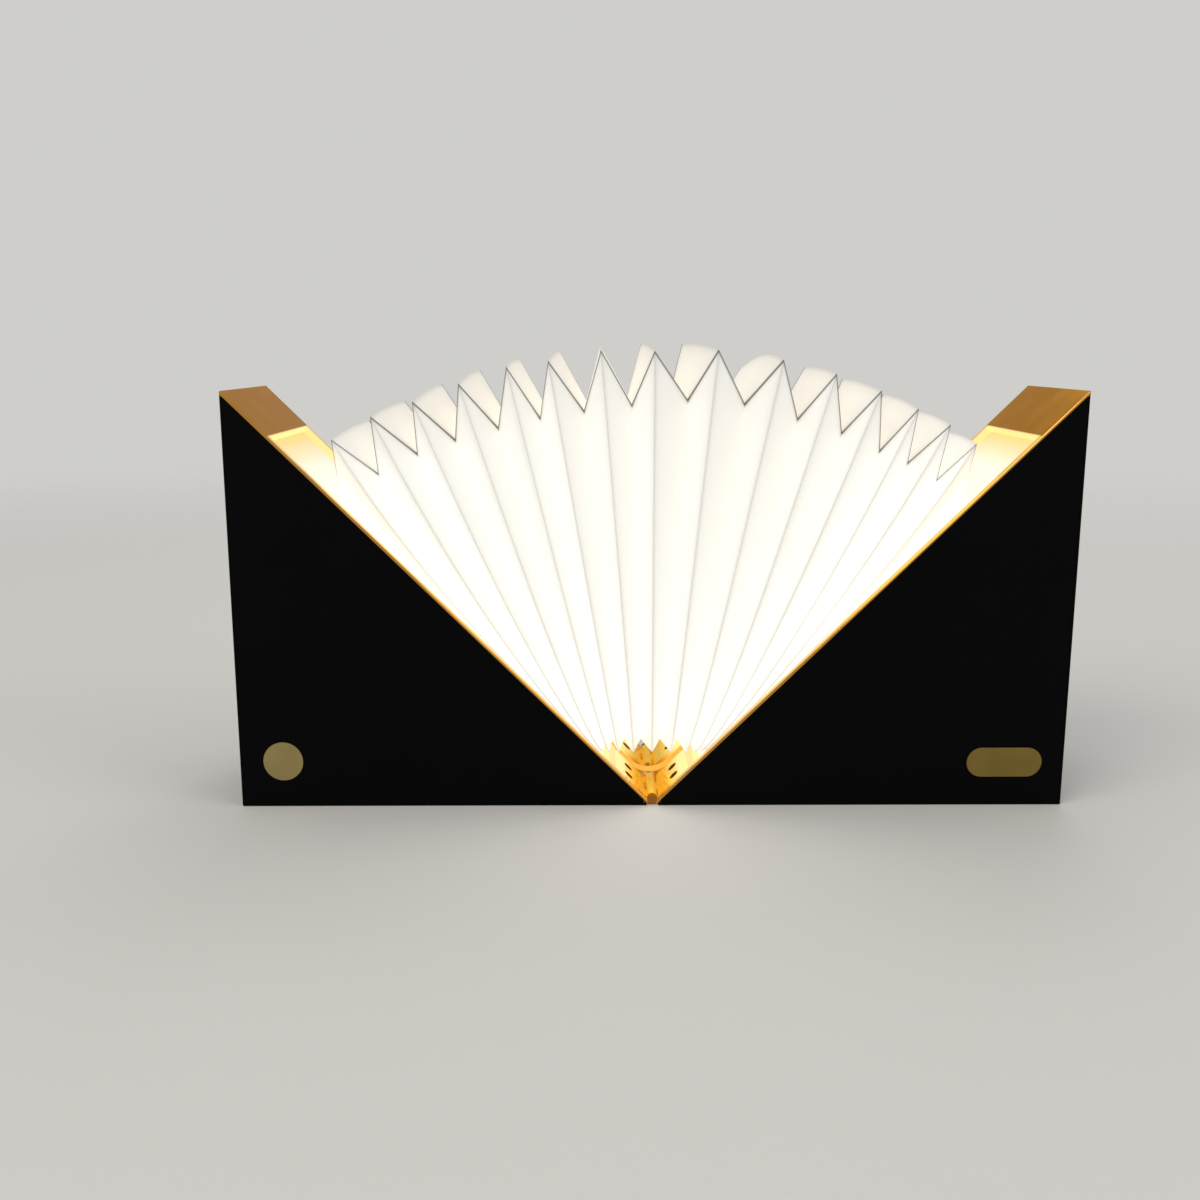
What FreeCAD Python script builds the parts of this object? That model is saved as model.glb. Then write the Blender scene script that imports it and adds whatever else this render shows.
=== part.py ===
import FreeCAD, Part
import math
import os
import re

import Sketcher

# A folding table lamp: a square metal box split on its diagonal into two case halves, which
# are hinged at the bottom centre, with a pleated paper shade that fans out between them.
# Millimetres. X is to the right, Y goes away from the viewer, Z is up; the origin lies on the
# floor under the hinge. "Slope" is the long inner face of a half, at 45 degrees: "along" is
# measured on it from the point nearest to the hinge axis, and "inward" at right angles to it,
# into the case.

SIZES = [
    ("half_width", 129.3, "hinge axis to the outer side of a half"),
    ("hinge_height", 1.7, "hinge axis above the floor"),
    ("slope_gap", 1, "hinge axis to the slope, so half the slit in the closed case"),
    ("case_depth", 55, "front to back"),
    ("wall", 2, "floor and side wall of a half"),
    ("edge_chamfer", 0.25, "broken outer edges"),
    ("corner_gap", 0.15, "running gap between the two bottom corners"),
    ("rim", 0.7, "metal edge seen round each panel"),
    ("panel_thickness", 1.5, "front and back panels"),
    ("panel_gap", 0.1, "gap round a panel in its rebate"),
    ("corner_post", 6, "post in the bottom outer corner"),
    ("pocket_depth", 2.6, "recess in the slope for the folded paper"),
    ("pocket_lip", 2.5, "lip in front of and behind the recess"),
    ("pocket_start", 18, "hinge axis to the recess, along the slope"),
    ("pocket_sheet", 1.5, "metal under the recess"),
    ("end_land", 19.5, "solid land between the recess and the top corner"),
    ("block_reach", 4, "solid top block under the far end of the recess"),
    ("barrel_radius", 1.6, "hinge knuckles"),
    ("pin_radius", 0.6, "hinge pin"),
    ("pin_clearance", 0.05, "pin to knuckle bore"),
    ("barrel_clearance", 0.25, "knuckle to the other leaf"),
    ("leaf_thickness", 0.8, "hinge leaf"),
    ("leaf_sink", 0.15, "leaf surface below the slope"),
    ("leaf_length", 15, "hinge leaf along the slope"),
    ("knuckle_length", 6.5, "one knuckle along the pin"),
    ("knuckle_gap", 0.2, "between neighbouring knuckles"),
    ("fit_gap", 0.1, "gap round a part set into metal"),
    ("hinge_screw_head", 1.7, "head radius"),
    ("hinge_screw_shank", 0.95, "shank radius"),
    ("hinge_screw_length", 5, "head and shank"),
    ("hinge_screw_along", 9, "hinge axis to the screws, along the slope"),
    ("hinge_screw_spacing", 8, "between the two screws of a leaf"),
    ("channel_width", 8, "groove for the flat jumper"),
    ("channel_depth", 1.15, "groove for the flat jumper"),
    ("jumper_width", 5, "flat jumper"),
    ("jumper_thickness", 0.25, "flat jumper"),
    ("jumper_bend", 9, "bend radius of the flat jumper over the pin"),
    ("jumper_overlap", 6, "jumper soldered on the light board"),
    ("card_thickness", 0.6, "paper end card"),
    ("card_margin", 0.5, "end card to the sides of the recess"),
    ("board_thickness", 1, "light board"),
    ("light_board_width", 10, "light board"),
    ("light_board_start", 30, "hinge axis to the light board"),
    ("light_board_end_gap", 6, "light board to the paper's outer wall"),
    ("led_count", 10, "light emitting diodes on a board"),
    ("led_length", 3.5, "along the board"),
    ("led_width", 2.8, "across the board"),
    ("led_height", 0.8, "above the board"),
    ("magnet_length", 10, "along the slope"),
    ("magnet_height", 3, "into the slope"),
    ("magnet_width", 12, "front to back"),
    ("magnet_cover", 1.1, "metal over a magnet"),
    ("magnet_from_top", 5.9, "top corner to a magnet, along the slope"),
    ("panel_screw_head", 1.9, "head radius"),
    ("panel_screw_shank", 0.95, "shank radius"),
    ("panel_screw_length", 6, "head and shank"),
    ("low_screw_from_axis", 10.1, "hinge axis to the lower inner panel screw, sideways"),
    ("low_screw_height", 5.6, "floor to the lower inner panel screw"),
    ("post_screw_inset", 2.7, "walls to the panel screw in the corner post"),
    ("top_screw_from_side", 6.9, "outer side to the upper panel screw"),
    ("top_screw_above_block", 4.9, "lower face of the top block to the upper panel screw"),
    ("button_from_side", 13.6, "outer side to the button's middle"),
    ("button_height", 14.9, "floor to the button's middle"),
    ("button_radius", 6.2, "power button"),
    ("button_clearance", 0.15, "button to its hole"),
    ("button_proud", 0.3, "button and badge above the panel"),
    ("button_flange", 0.9, "flange behind the panel"),
    ("button_flange_radius", 7.2, "flange behind the panel"),
    ("button_travel", 0.8, "power button"),
    ("plunger_radius", 1.6, "switch plunger"),
    ("badge_from_side", 18.8, "outer side to the badge's middle"),
    ("badge_height", 14.2, "floor to the badge's middle"),
    ("badge_half_length", 11.8, "oval badge"),
    ("badge_half_width", 4.75, "oval badge"),
    ("badge_sink", 0.7, "depth of the badge's seat in the panel"),
    ("circuit_board_gap", 0.5, "control board to the side wall"),
    ("circuit_board_length", 42, "control board"),
    ("circuit_board_bottom", 9, "floor to the control board"),
    ("circuit_board_height", 37, "control board"),
    ("circuit_board_thickness", 1.6, "control board"),
    ("standoff", 6, "front panel to the control board"),
    ("standoff_radius", 2.2, "posts behind the front panel"),
    ("standoff_bore", 0.85, "bore of a post"),
    ("standoff_margin", 4.2, "board edge to a post's middle"),
    ("board_screw_head", 1.6, "head radius"),
    ("board_screw_head_height", 1.2, "head height"),
    ("board_screw_grip", 4.2, "screw in the post"),
    ("switch_side", 6, "push switch"),
    ("switch_height", 3.4, "push switch"),
    ("switch_bore_depth", 2.2, "plunger guide in the switch"),
    ("port_height", 30, "floor to the charging port's middle"),
    ("port_recess", 2.5, "inner face of the side wall to the charging port's mouth"),
    ("port_width", 9, "charging port shell, up and down"),
    ("port_thickness", 3.2, "charging port shell"),
    ("port_length", 7.5, "charging port shell"),
    ("port_shell", 0.3, "shell metal"),
    ("port_tongue", 0.7, "contact tongue"),
    ("plug_room", 1.8, "port shell to the edge of the plug window"),
    ("cell_radius", 9.2, "rechargeable cell"),
    ("cell_length", 65, "rechargeable cell"),
    ("cell_from_side", 28.3, "outer side to the cell"),
    ("cell_behind_middle", 11, "cell axis behind the middle plane"),
    ("cradle_floor", 0.8, "cradle under the cell"),
    ("cradle_height", 6, "cradle"),
    ("cradle_inset", 3, "cradle end to the cell's end"),
    ("connector_length", 6, "lead connector"),
    ("connector_width", 4.5, "lead connector"),
    ("connector_height", 5, "lead connector"),
    ("cell_connector_in", 18, "inner edge of the board to the cell's connector"),
    ("cell_connector_up", 8, "lower edge of the board to the cell's connector"),
    ("light_connector_in", 12, "inner edge of the board to the lights' connector"),
    ("light_connector_up", 31, "lower edge of the board to the lights' connector"),
    ("lead_radius", 0.65, "insulated lead"),
    ("feed_hole_radius", 2.2, "hole for the light board's leads"),
    ("feed_along", 100, "hinge axis to that hole, along the slope"),
    ("pleat_count", 15, "outer folds of the paper"),
    ("paper_skin", 0.8, "paper, measured square to the fan"),
    ("paper_gap", 0.3, "paper to the end card"),
    ("peak_gap", 11.2, "far end of the recess to the outer folds beside it"),
    ("peak_arch", 10.9, "outer folds nearer to the hinge at the fan's middle"),
    ("fold_height", 15.2, "outer to inner folds, away from the hinge"),
    ("valley_arch", 12.2, "inner folds nearer to the hinge at the fan's middle"),
    ("fold_depth", 14, "outer to inner folds, front to back"),
    ("shade_side_gap", 0.5, "outer folds to the sides of the recess"),
    ("shade_crown", 0.6, "outer wall bulges at its middle"),
    ("back_rise", 1.7, "back folds further from the hinge than the front ones"),
    ("back_turn", 1.2, "degrees by which the back folds turn to the right"),
    ("back_dip", 3.6, "degrees by which they turn back beside the fan's middle"),
    ("back_dip_angle", 10, "degrees from upright to the middle of those"),
    ("shade_start", 16.6, "floor to the paper's lower edge"),
    ("fan_bulge", 3.2, "degrees by which the folds crowd to both sides"),
    ("fan_skew", 1.5, "degrees by which the folds lean to the right"),
    ("fan_lean", 0.7, "degrees by which the middle fold leans"),
    ("peak_spread", 0.945, "outer folds' angle as a share of the inner folds'"),
    ("fan_centre_depth", 50.7, "point under the floor where the folds aim"),
    ("start_crowding", 3, "how strongly the lower ends crowd to the sides"),
    ("start_even_share", 0.25, "share of the lower edge that is evenly divided"),
]
CHIP_SIZES = ("in", "up", "length", "height", "thickness")
CHIPS = {
    "charger": (10, 17, 4, 4, 0.9),
    "driver": (18, 23, 5, 4, 1.1),
    "coil": (10, 24, 5, 5, 3),
    "capacitor": (19, 16, 3.2, 2.5, 1.6),
    "timer": (29, 11, 4, 3, 1),
}
for chip, values in CHIPS.items():
    SIZES += [(f"{chip}_{what}", value, f"{chip} on the control board, {what}")
              for what, value in zip(CHIP_SIZES, values)]
ALIASES = {alias for alias, value, meaning in SIZES}
SIDES = {"left": -1, "right": 1}
PATH_STEPS = 4
SHORT_EDGE = 10

doc = FreeCAD.newDocument("pleated_lamp")
sheet = doc.addObject("Spreadsheet::Sheet", "sizes")
for row, (alias, value, meaning) in enumerate(SIZES, start=1):
    sheet.set(f"A{row}", meaning)
    sheet.set(f"B{row}", str(value))
    sheet.setAlias(f"B{row}", alias)
doc.recompute()

pieces = []


# ---- formulas and simple solids ----

def formula(text):
    """The text with every size of the sheet written as a reference to its cell."""
    return re.sub(r"[a-z_]+", lambda word: f"sizes.{word[0]}" if word[0] in ALIASES else word[0],
                  str(text))


def number(alias):
    return float(sheet.get(alias))


def piece(solid, name):
    """Name a finished piece and put it on the list to be written."""
    solid.Label = name
    pieces.append(solid)
    return solid


def move(solid, x=None, y=None, z=None, turn=None):
    """Place a solid by formulas, after turning it."""
    if turn is not None:
        solid.Placement = FreeCAD.Placement(FreeCAD.Vector(), turn)
    for axis, text in (("x", x), ("y", y), ("z", z)):
        if text is not None:
            solid.setExpression(f"Placement.Base.{axis}", formula(text))
    return solid


def box(name, x, y, z):
    """A block between two formulas on each axis."""
    solid = doc.addObject("Part::Box", name)
    for prop, axis, (low, high) in zip(("Length", "Width", "Height"), "xyz", (x, y, z)):
        solid.setExpression(prop, formula(f"({high}) - ({low})"))
        solid.setExpression(f"Placement.Base.{axis}", formula(low))
    return solid


AXIS_TURNS = {
    "x": FreeCAD.Rotation(FreeCAD.Vector(0, 1, 0), 90),
    "y": FreeCAD.Rotation(FreeCAD.Vector(1, 0, 0), -90),
    "z": FreeCAD.Rotation(),
}


def rod(name, axis, radius, low, high, **centre):
    """A cylinder along an axis between two formulas, at a centre on the other two axes."""
    solid = doc.addObject("Part::Cylinder", name)
    solid.setExpression("Radius", formula(radius))
    solid.setExpression("Height", formula(f"({high}) - ({low})"))
    return move(solid, turn=AXIS_TURNS[axis], **{axis: low}, **centre)


def join(name, solids):
    fused = doc.addObject("Part::MultiFuse", name)
    fused.Shapes = solids
    return fused


def group(name, solids):
    several = doc.addObject("Part::Compound", name)
    several.Links = solids
    return several


def cut(name, base, tools):
    less = doc.addObject("Part::Cut", name)
    less.Base = base
    less.Tool = tools[0] if len(tools) == 1 else join(f"{name}_tools", tools)
    return less


def countersunk_screw(name, head, shank, length):
    """A screw along -Z whose flat head lies in the plane Z = 0."""
    cone = doc.addObject("Part::Cone", f"{name}_head")
    cone.setExpression("Radius1", formula(shank))
    cone.setExpression("Radius2", formula(head))
    cone.setExpression("Height", formula(f"{head} - {shank}"))
    move(cone, z=f"{shank} - {head}")
    stem = rod(f"{name}_stem", "z", shank, f"-({length})", f"{shank} - {head}", x="0", y="0")
    return join(name, [cone, stem])


def seat_for_screw(name, head, shank, length):
    """The hole that such a screw sits in, a little wider and deeper."""
    cone = doc.addObject("Part::Cone", f"{name}_sink")
    cone.setExpression("Radius1", formula(f"{shank} + pin_clearance"))
    cone.setExpression("Radius2", formula(f"{head} + pin_clearance"))
    cone.setExpression("Height", formula(f"{head} - {shank}"))
    move(cone, z=f"{shank} - {head}")
    bore = rod(f"{name}_bore", "z", f"{shank} + pin_clearance", f"-({length}) - fit_gap",
               "fit_gap", x="0", y="0")
    return join(name, [cone, bore])


# ---- the slope ----

def slope_turn(side):
    """Turn that lays X along the slope of a half, with Z pointing out of it."""
    tilt = FreeCAD.Rotation(FreeCAD.Vector(0, 1, 0), -45)
    if side > 0:
        return tilt
    return FreeCAD.Rotation(FreeCAD.Vector(0, 0, 1), 180).multiply(tilt)


def slope_point(side, along, inward):
    """X and Z formulas of a point on, or under, the slope."""
    return (f"{side} * (({along}) + ({inward}) + slope_gap) / sqrt(2)",
            f"hinge_height + (({along}) - ({inward}) - slope_gap) / sqrt(2)")


def on_slope(solid, side):
    """Place a solid that was made with X along the slope and Z out of it."""
    x, z = slope_point(side, "0", "0")
    return move(solid, x=x, z=z, turn=slope_turn(side))


SLOPE_LENGTH = "(half_width * sqrt(2) - slope_gap)"
POCKET_END = f"({SLOPE_LENGTH} - end_land)"
POCKET_HALF = "(case_depth / 2 - pocket_lip)"
LEAF_SINK = "(leaf_sink + leaf_thickness)"
CARD_TOP = "(pocket_depth - card_thickness)"
LIGHT_BOARD_TOP = "(pocket_depth - card_thickness - board_thickness)"
VALLEY_RADIUS = f"({POCKET_END} - peak_gap - fold_height - valley_arch)"
LIGHT_BOARD_END = f"({VALLEY_RADIUS} - light_board_end_gap)"
CORNER_X = "(hinge_height + corner_gap)"
SLOPE_FOOT = "(hinge_height - slope_gap * sqrt(2))"


# ---- outlines on the plane of the front ----

def outline(body, name, corners, level="0"):
    """A closed outline on the body's XZ plane, moved by level towards the viewer."""
    sketch = body.newObject("Sketcher::SketchObject", name)
    plane = next(item for item in body.Origin.OriginFeatures if item.Role == "XZ_Plane")
    sketch.AttachmentSupport = [(plane, "")]
    sketch.MapMode = "FlatFace"
    sketch.setExpression("AttachmentOffset.Base.z", formula(level))
    count = len(corners)
    starts = [FreeCAD.Vector(math.cos(2 * math.pi * i / count), math.sin(2 * math.pi * i / count))
              for i in range(count)]
    for i in range(count):
        sketch.addGeometry(Part.LineSegment(starts[i], starts[(i + 1) % count]), False)
    for i in range(count):
        sketch.addConstraint(Sketcher.Constraint("Coincident", i, 2, (i + 1) % count, 1))
    for i, corner in enumerate(corners):
        for kind, text in zip(("DistanceX", "DistanceY"), corner):
            index = sketch.addConstraint(Sketcher.Constraint(kind, -1, 1, i, 1, 1.0))
            sketch.setExpression(f"Constraints[{index}]", formula(text))
    return sketch


def circles(body, name, centres, radius, level):
    """Equal circles on the body's XZ plane, moved by level towards the viewer."""
    sketch = body.newObject("Sketcher::SketchObject", name)
    plane = next(item for item in body.Origin.OriginFeatures if item.Role == "XZ_Plane")
    sketch.AttachmentSupport = [(plane, "")]
    sketch.MapMode = "FlatFace"
    sketch.setExpression("AttachmentOffset.Base.z", formula(level))
    for i, centre in enumerate(centres):
        middle = FreeCAD.Vector(i, 0, 0)
        sketch.addGeometry(Part.Circle(middle, FreeCAD.Vector(0, 0, 1), 1), False)
        for kind, text in zip(("DistanceX", "DistanceY"), centre):
            index = sketch.addConstraint(Sketcher.Constraint(kind, -1, 1, i, 3, 1.0))
            sketch.setExpression(f"Constraints[{index}]", formula(text))
        index = sketch.addConstraint(Sketcher.Constraint("Radius", i, 1.0))
        sketch.setExpression(f"Constraints[{index}]", formula(radius))
    return sketch


def feature(body, kind, sketch, length, both_ways=False, turned_round=False):
    """Pad or pocket a sketch; a pad goes towards the viewer and a pocket away."""
    item = body.newObject(f"PartDesign::{kind}", f"{sketch.Name}_{kind.lower()}")
    item.Profile = sketch
    item.Midplane = both_ways
    item.Reversed = turned_round
    item.setExpression("Length", formula(length))
    return item


def half_outline(side, inset, slope_inset):
    """Outline of a half, moved in by inset and, on the slope, by slope_inset."""
    drop = f"({slope_inset}) * sqrt(2)"
    return [
        (f"{side} * ({CORNER_X} + {inset})", inset),
        (f"{side} * (half_width - ({inset}))", inset),
        (f"{side} * (half_width - ({inset}))", f"{SLOPE_FOOT} + half_width - ({inset}) - {drop}"),
        (f"{side} * ({CORNER_X} + {inset})", f"{SLOPE_FOOT} + {CORNER_X} + {inset} - {drop}"),
    ]


def slope_strip(side, start, end, depth, above="1"):
    """Outline of a cut into the slope between two places along it."""
    return [slope_point(side, start, f"-({above})"), slope_point(side, end, f"-({above})"),
            slope_point(side, end, depth), slope_point(side, start, depth)]


def magnet_outline(side, gap):
    start = f"{SLOPE_LENGTH} - magnet_from_top - magnet_length"
    end = f"{SLOPE_LENGTH} - magnet_from_top"
    top = "magnet_cover"
    bottom = "magnet_cover + magnet_height"
    return [slope_point(side, f"{start} - {gap}", f"{top} - {gap}"),
            slope_point(side, f"{end} + {gap}", f"{top} - {gap}"),
            slope_point(side, f"{end} + {gap}", f"{bottom} + {gap}"),
            slope_point(side, f"{start} - {gap}", f"{bottom} + {gap}")]


def square_to_slope(solid, side, along, across, inward):
    """Stand a solid that was made along Z on a point of the slope, or under it."""
    x, z = slope_point(side, along, inward)
    return move(solid, x=x, y=across, z=z, turn=slope_turn(side))


# ---- hinge: two short leaves on each half, one pin through all knuckles ----

HINGE_SCREW = ("hinge_screw_head", "hinge_screw_shank", "hinge_screw_length")
LEAF_INNER = "(case_depth / 2 - pocket_lip - 3 * knuckle_length - 2 * knuckle_gap)"
HINGE_SCREW_ACROSS = [f"{sign} * ({LEAF_INNER} + {POCKET_HALF}) / 2 {shift}"
                      for sign in (-1, 1)
                      for shift in ("- hinge_screw_spacing / 2", "+ hinge_screw_spacing / 2")]


def knuckle_span(index):
    """Y range of knuckle 0, 1 or 2, counted from the outside, behind the middle plane."""
    outer = f"({POCKET_HALF} - {index} * (knuckle_length + knuckle_gap))"
    return f"{outer} - knuckle_length", outer


def both_ends(low, high):
    """A Y range behind the middle plane, and the same in front of it."""
    return [(low, high), (f"-({high})", f"-({low})")]


def hinge_leaves(name, side):
    """Outer and inner knuckles belong to the left half, the middle ones to the right."""
    own = (0, 2) if side < 0 else (1,)
    plate_start = "barrel_radius + barrel_clearance"
    leaves = []
    for end, mirror in (("back", 0), ("front", 1)):
        low, high = both_ends(LEAF_INNER, POCKET_HALF)[mirror]
        solids = [box(f"{name}_{end}_plate", (plate_start, "leaf_length"),
                      (f"{low} + fit_gap", f"{high} - fit_gap"), (f"-{LEAF_SINK}", "-leaf_sink"))]
        for index in own:
            span = both_ends(*knuckle_span(index))[mirror]
            solids.append(rod(f"{name}_{end}_knuckle_{index}", "y", "barrel_radius", *span,
                              x="0", z="slope_gap"))
            solids.append(box(f"{name}_{end}_neck_{index}", ("0", f"{plate_start} + fit_gap"),
                              span, (f"-{LEAF_SINK}", "0")))
        tools = [rod(f"{name}_{end}_bore", "y", "pin_radius + pin_clearance",
                     "-case_depth / 2", "case_depth / 2", x="0", z="slope_gap")]
        places = HINGE_SCREW_ACROSS[:2] if mirror else HINGE_SCREW_ACROSS[2:]
        for count, across in enumerate(places):
            tools.append(move(seat_for_screw(f"{name}_{end}_hole_{count}", *HINGE_SCREW),
                              x="hinge_screw_along", y=across, z="-leaf_sink"))
        leaves.append(cut(f"{name}_{end}", join(f"{name}_{end}_blank", solids), tools))
    return on_slope(group(name, leaves), side)


def hinge_pin(name):
    shaft = rod(f"{name}_shaft", "y", "pin_radius", f"-{POCKET_HALF} - fit_gap",
                f"{POCKET_HALF} + fit_gap", x="0", z="hinge_height")
    heads = [rod(f"{name}_head_{i}", "y", "barrel_radius", *span, x="0", z="hinge_height")
             for i, span in enumerate(both_ends(f"{POCKET_HALF} + fit_gap",
                                                "case_depth / 2 - leaf_thickness"))]
    return join(name, [shaft] + heads)


# ---- case halves ----

PANEL_SCREW = ("panel_screw_head", "panel_screw_shank", "panel_screw_length")
BLOCK_X, BLOCK_Z = slope_point(1, f"{POCKET_END} - block_reach", "pocket_depth + pocket_sheet")
WEDGE_X, WEDGE_Z = slope_point(1, "pocket_start", "pocket_depth + pocket_sheet")
PANEL_SCREW_PLACES = [
    ("low_screw_from_axis", "low_screw_height"),
    ("half_width - wall - post_screw_inset", "wall + post_screw_inset"),
    ("half_width - top_screw_from_side", f"{BLOCK_Z} + top_screw_above_block"),
]


def back_panel_cone(name, side, place, maker):
    """A screw or its seat in the back panel, pointing at the viewer."""
    x, z = place
    turn = FreeCAD.Rotation(FreeCAD.Vector(1, 0, 0), -90)
    return move(maker(name, *PANEL_SCREW), x=f"{side} * ({x})", y="case_depth / 2", z=z, turn=turn)


PORT_MIDDLE_Y = "(-case_depth / 2 + panel_thickness + standoff + circuit_board_thickness" \
                " + port_thickness / 2)"


def plug_window(name):
    """Window in the left side wall through which a plug reaches the charging port."""
    return box(name, ("-half_width - wall", "-half_width + wall + fit_gap"),
               (f"{PORT_MIDDLE_Y} - port_thickness / 2 - plug_room",
                f"{PORT_MIDDLE_Y} + port_thickness / 2 + plug_room"),
               ("port_height - port_width / 2 - plug_room",
                "port_height + port_width / 2 + plug_room"))


def case_frame(name, side):
    """Floor, side wall and slope of one half, open at the front and the back."""
    body = doc.addObject("PartDesign::Body", f"{name}_blank")
    outer = outline(body, f"{name}_outer", half_outline(side, "0", "0"))
    block = feature(body, "Pad", outer, "case_depth", both_ways=True)
    doc.recompute()
    edges = body.newObject("PartDesign::Chamfer", f"{name}_edges")
    edges.Base = (block, [f"Edge{i}" for i, edge in enumerate(block.Shape.Edges, start=1)
                          if edge.Length > SHORT_EDGE])
    edges.setExpression("Size", formula("edge_chamfer"))
    doc.recompute()
    inside = outline(body, f"{name}_inside", [
        (f"{side} * (half_width - wall - corner_post)", "wall"),
        (f"{side} * (half_width - wall - corner_post)", "wall + corner_post"),
        (f"{side} * (half_width - wall)", "wall + corner_post"),
        (f"{side} * (half_width - wall)", BLOCK_Z),
        (f"{side} * ({BLOCK_X})", BLOCK_Z),
        (f"{side} * ({WEDGE_X})", WEDGE_Z),
        (f"{side} * ({WEDGE_X})", "wall"),
    ])
    feature(body, "Pocket", inside, "case_depth - 2 * panel_thickness", both_ways=True)
    recess = outline(body, f"{name}_recess",
                     slope_strip(side, "pocket_start", POCKET_END, "pocket_depth"))
    feature(body, "Pocket", recess, f"2 * {POCKET_HALF}", both_ways=True)
    for end, level in (("front", "case_depth / 2"), ("back", "panel_thickness - case_depth / 2")):
        rebate = outline(body, f"{name}_{end}_rebate", half_outline(side, "rim", "rim"), level)
        feature(body, "Pocket", rebate, "panel_thickness")
    leaf_seat = outline(body, f"{name}_leaf_seat",
                        slope_strip(side, "0", "leaf_length + fit_gap", LEAF_SINK))
    feature(body, "Pocket", leaf_seat, f"2 * {POCKET_HALF}", both_ways=True)
    channel = outline(body, f"{name}_channel",
                      slope_strip(side, "0", "pocket_start + fit_gap", "channel_depth"))
    feature(body, "Pocket", channel, "channel_width", both_ways=True)
    for end, level in (("front", "case_depth / 2 - panel_thickness"),
                       ("back", "-(case_depth / 2 - panel_thickness - magnet_width - fit_gap)")):
        slot = outline(body, f"{name}_{end}_magnet_slot", magnet_outline(side, "fit_gap"), level)
        feature(body, "Pocket", slot, "magnet_width + fit_gap")
    tools = [square_to_slope(seat_for_screw(f"{name}_hinge_hole_{i}", *HINGE_SCREW), side,
                             "hinge_screw_along", across, "leaf_sink")
             for i, across in enumerate(HINGE_SCREW_ACROSS)]
    tools += [back_panel_cone(f"{name}_panel_hole_{i}", side, place, seat_for_screw)
              for i, place in enumerate(PANEL_SCREW_PLACES)]
    if side < 0:
        tools.append(plug_window(f"{name}_plug_window"))
        hole = rod(f"{name}_feed_hole", "z", "feed_hole_radius", "0",
                   "pocket_sheet + 2 * fit_gap", x="0", y="0")
        tools.append(square_to_slope(hole, side, "feed_along", "0",
                                     "pocket_depth + pocket_sheet + fit_gap"))
    return cut(name, body, tools)


def panel_body(name, side, level):
    body = doc.addObject("PartDesign::Body", name)
    edge = outline(body, f"{name}_edge",
                   half_outline(side, "(rim + panel_gap)", "(rim + panel_gap)"), level)
    feature(body, "Pad", edge, "panel_thickness")
    return body


def back_panel(name, side):
    blank = panel_body(f"{name}_blank", side, "-case_depth / 2")
    return cut(name, blank, [back_panel_cone(f"{name}_hole_{i}", side, place, seat_for_screw)
                             for i, place in enumerate(PANEL_SCREW_PLACES)])


def back_screws(name, side):
    return group(name, [back_panel_cone(f"{name}_{i}", side, place, countersunk_screw)
                        for i, place in enumerate(PANEL_SCREW_PLACES)])


# ---- front panels, power button and badge ----

PANEL_BACK = "(case_depth / 2 - panel_thickness)"
BOARD_FRONT = "(case_depth / 2 - panel_thickness - standoff)"
BOARD_BACK = "(case_depth / 2 - panel_thickness - standoff - circuit_board_thickness)"
BOARD_LEFT = "(-half_width + wall + circuit_board_gap)"
BOARD_RIGHT = "(-half_width + wall + circuit_board_gap + circuit_board_length)"
BOARD_TOP = "(circuit_board_bottom + circuit_board_height)"
STANDOFF_PLACES = [
    (f"{BOARD_RIGHT} - standoff_margin", "circuit_board_bottom + standoff_margin"),
    (f"{BOARD_RIGHT} - standoff_margin", f"{BOARD_TOP} - standoff_margin"),
    (f"{BOARD_LEFT} + standoff_margin", f"{BOARD_TOP} - standoff_margin"),
]
BUTTON_X = "(-half_width + button_from_side)"
BADGE_X = "(half_width - badge_from_side)"


def left_front_panel(name):
    """Black panel with the button's hole, and three posts behind it for the control board."""
    body = panel_body(name, -1, PANEL_BACK)
    posts = circles(body, f"{name}_posts", STANDOFF_PLACES, "standoff_radius", PANEL_BACK)
    feature(body, "Pad", posts, "standoff", turned_round=True)
    bores = circles(body, f"{name}_bores", STANDOFF_PLACES, "standoff_bore", BOARD_FRONT)
    feature(body, "Pocket", bores, "standoff - fit_gap", turned_round=True)
    hole = circles(body, f"{name}_hole", [(BUTTON_X, "button_height")],
                   "button_radius + button_clearance", "case_depth / 2")
    feature(body, "Pocket", hole, "panel_thickness")
    return body


def oval(name, spare, near, far):
    """The badge's long oval with two round ends, between two distances in front of the middle."""
    reach = "(badge_half_length - badge_half_width)"
    middle = box(f"{name}_middle", (f"{BADGE_X} - {reach}", f"{BADGE_X} + {reach}"),
                 (f"-({far})", f"-({near})"),
                 (f"badge_height - badge_half_width - {spare}",
                  f"badge_height + badge_half_width + {spare}"))
    ends = [rod(f"{name}_end_{sign}", "y", f"badge_half_width + {spare}", f"-({far})", f"-({near})",
                x=f"{BADGE_X} + {sign} * {reach}", z="badge_height") for sign in (-1, 1)]
    return join(name, [middle] + ends)


def right_front_panel(name):
    blank = panel_body(f"{name}_blank", 1, PANEL_BACK)
    seat = oval(f"{name}_seat", "panel_gap", "case_depth / 2 - badge_sink", "case_depth / 2 + wall")
    return cut(name, blank, [seat])


def badge_plate(name):
    return oval(name, "0", "case_depth / 2 - badge_sink", "case_depth / 2 + button_proud")


def button_cap(name):
    """Cap in the hole with a wider flange behind the panel, which keeps it in."""
    cap = rod(f"{name}_cap", "y", "button_radius", "-case_depth / 2 - button_proud",
              f"-{PANEL_BACK} + panel_gap", x=BUTTON_X, z="button_height")
    flange = rod(f"{name}_flange", "y", "button_flange_radius", f"-{PANEL_BACK} + panel_gap",
                 f"-{PANEL_BACK} + panel_gap + button_flange", x=BUTTON_X, z="button_height")
    return join(name, [cap, flange])


SWITCH_FRONT = f"(-{BOARD_FRONT} - switch_height)"
FLANGE_BACK = f"(-{PANEL_BACK} + panel_gap + button_flange)"


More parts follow.
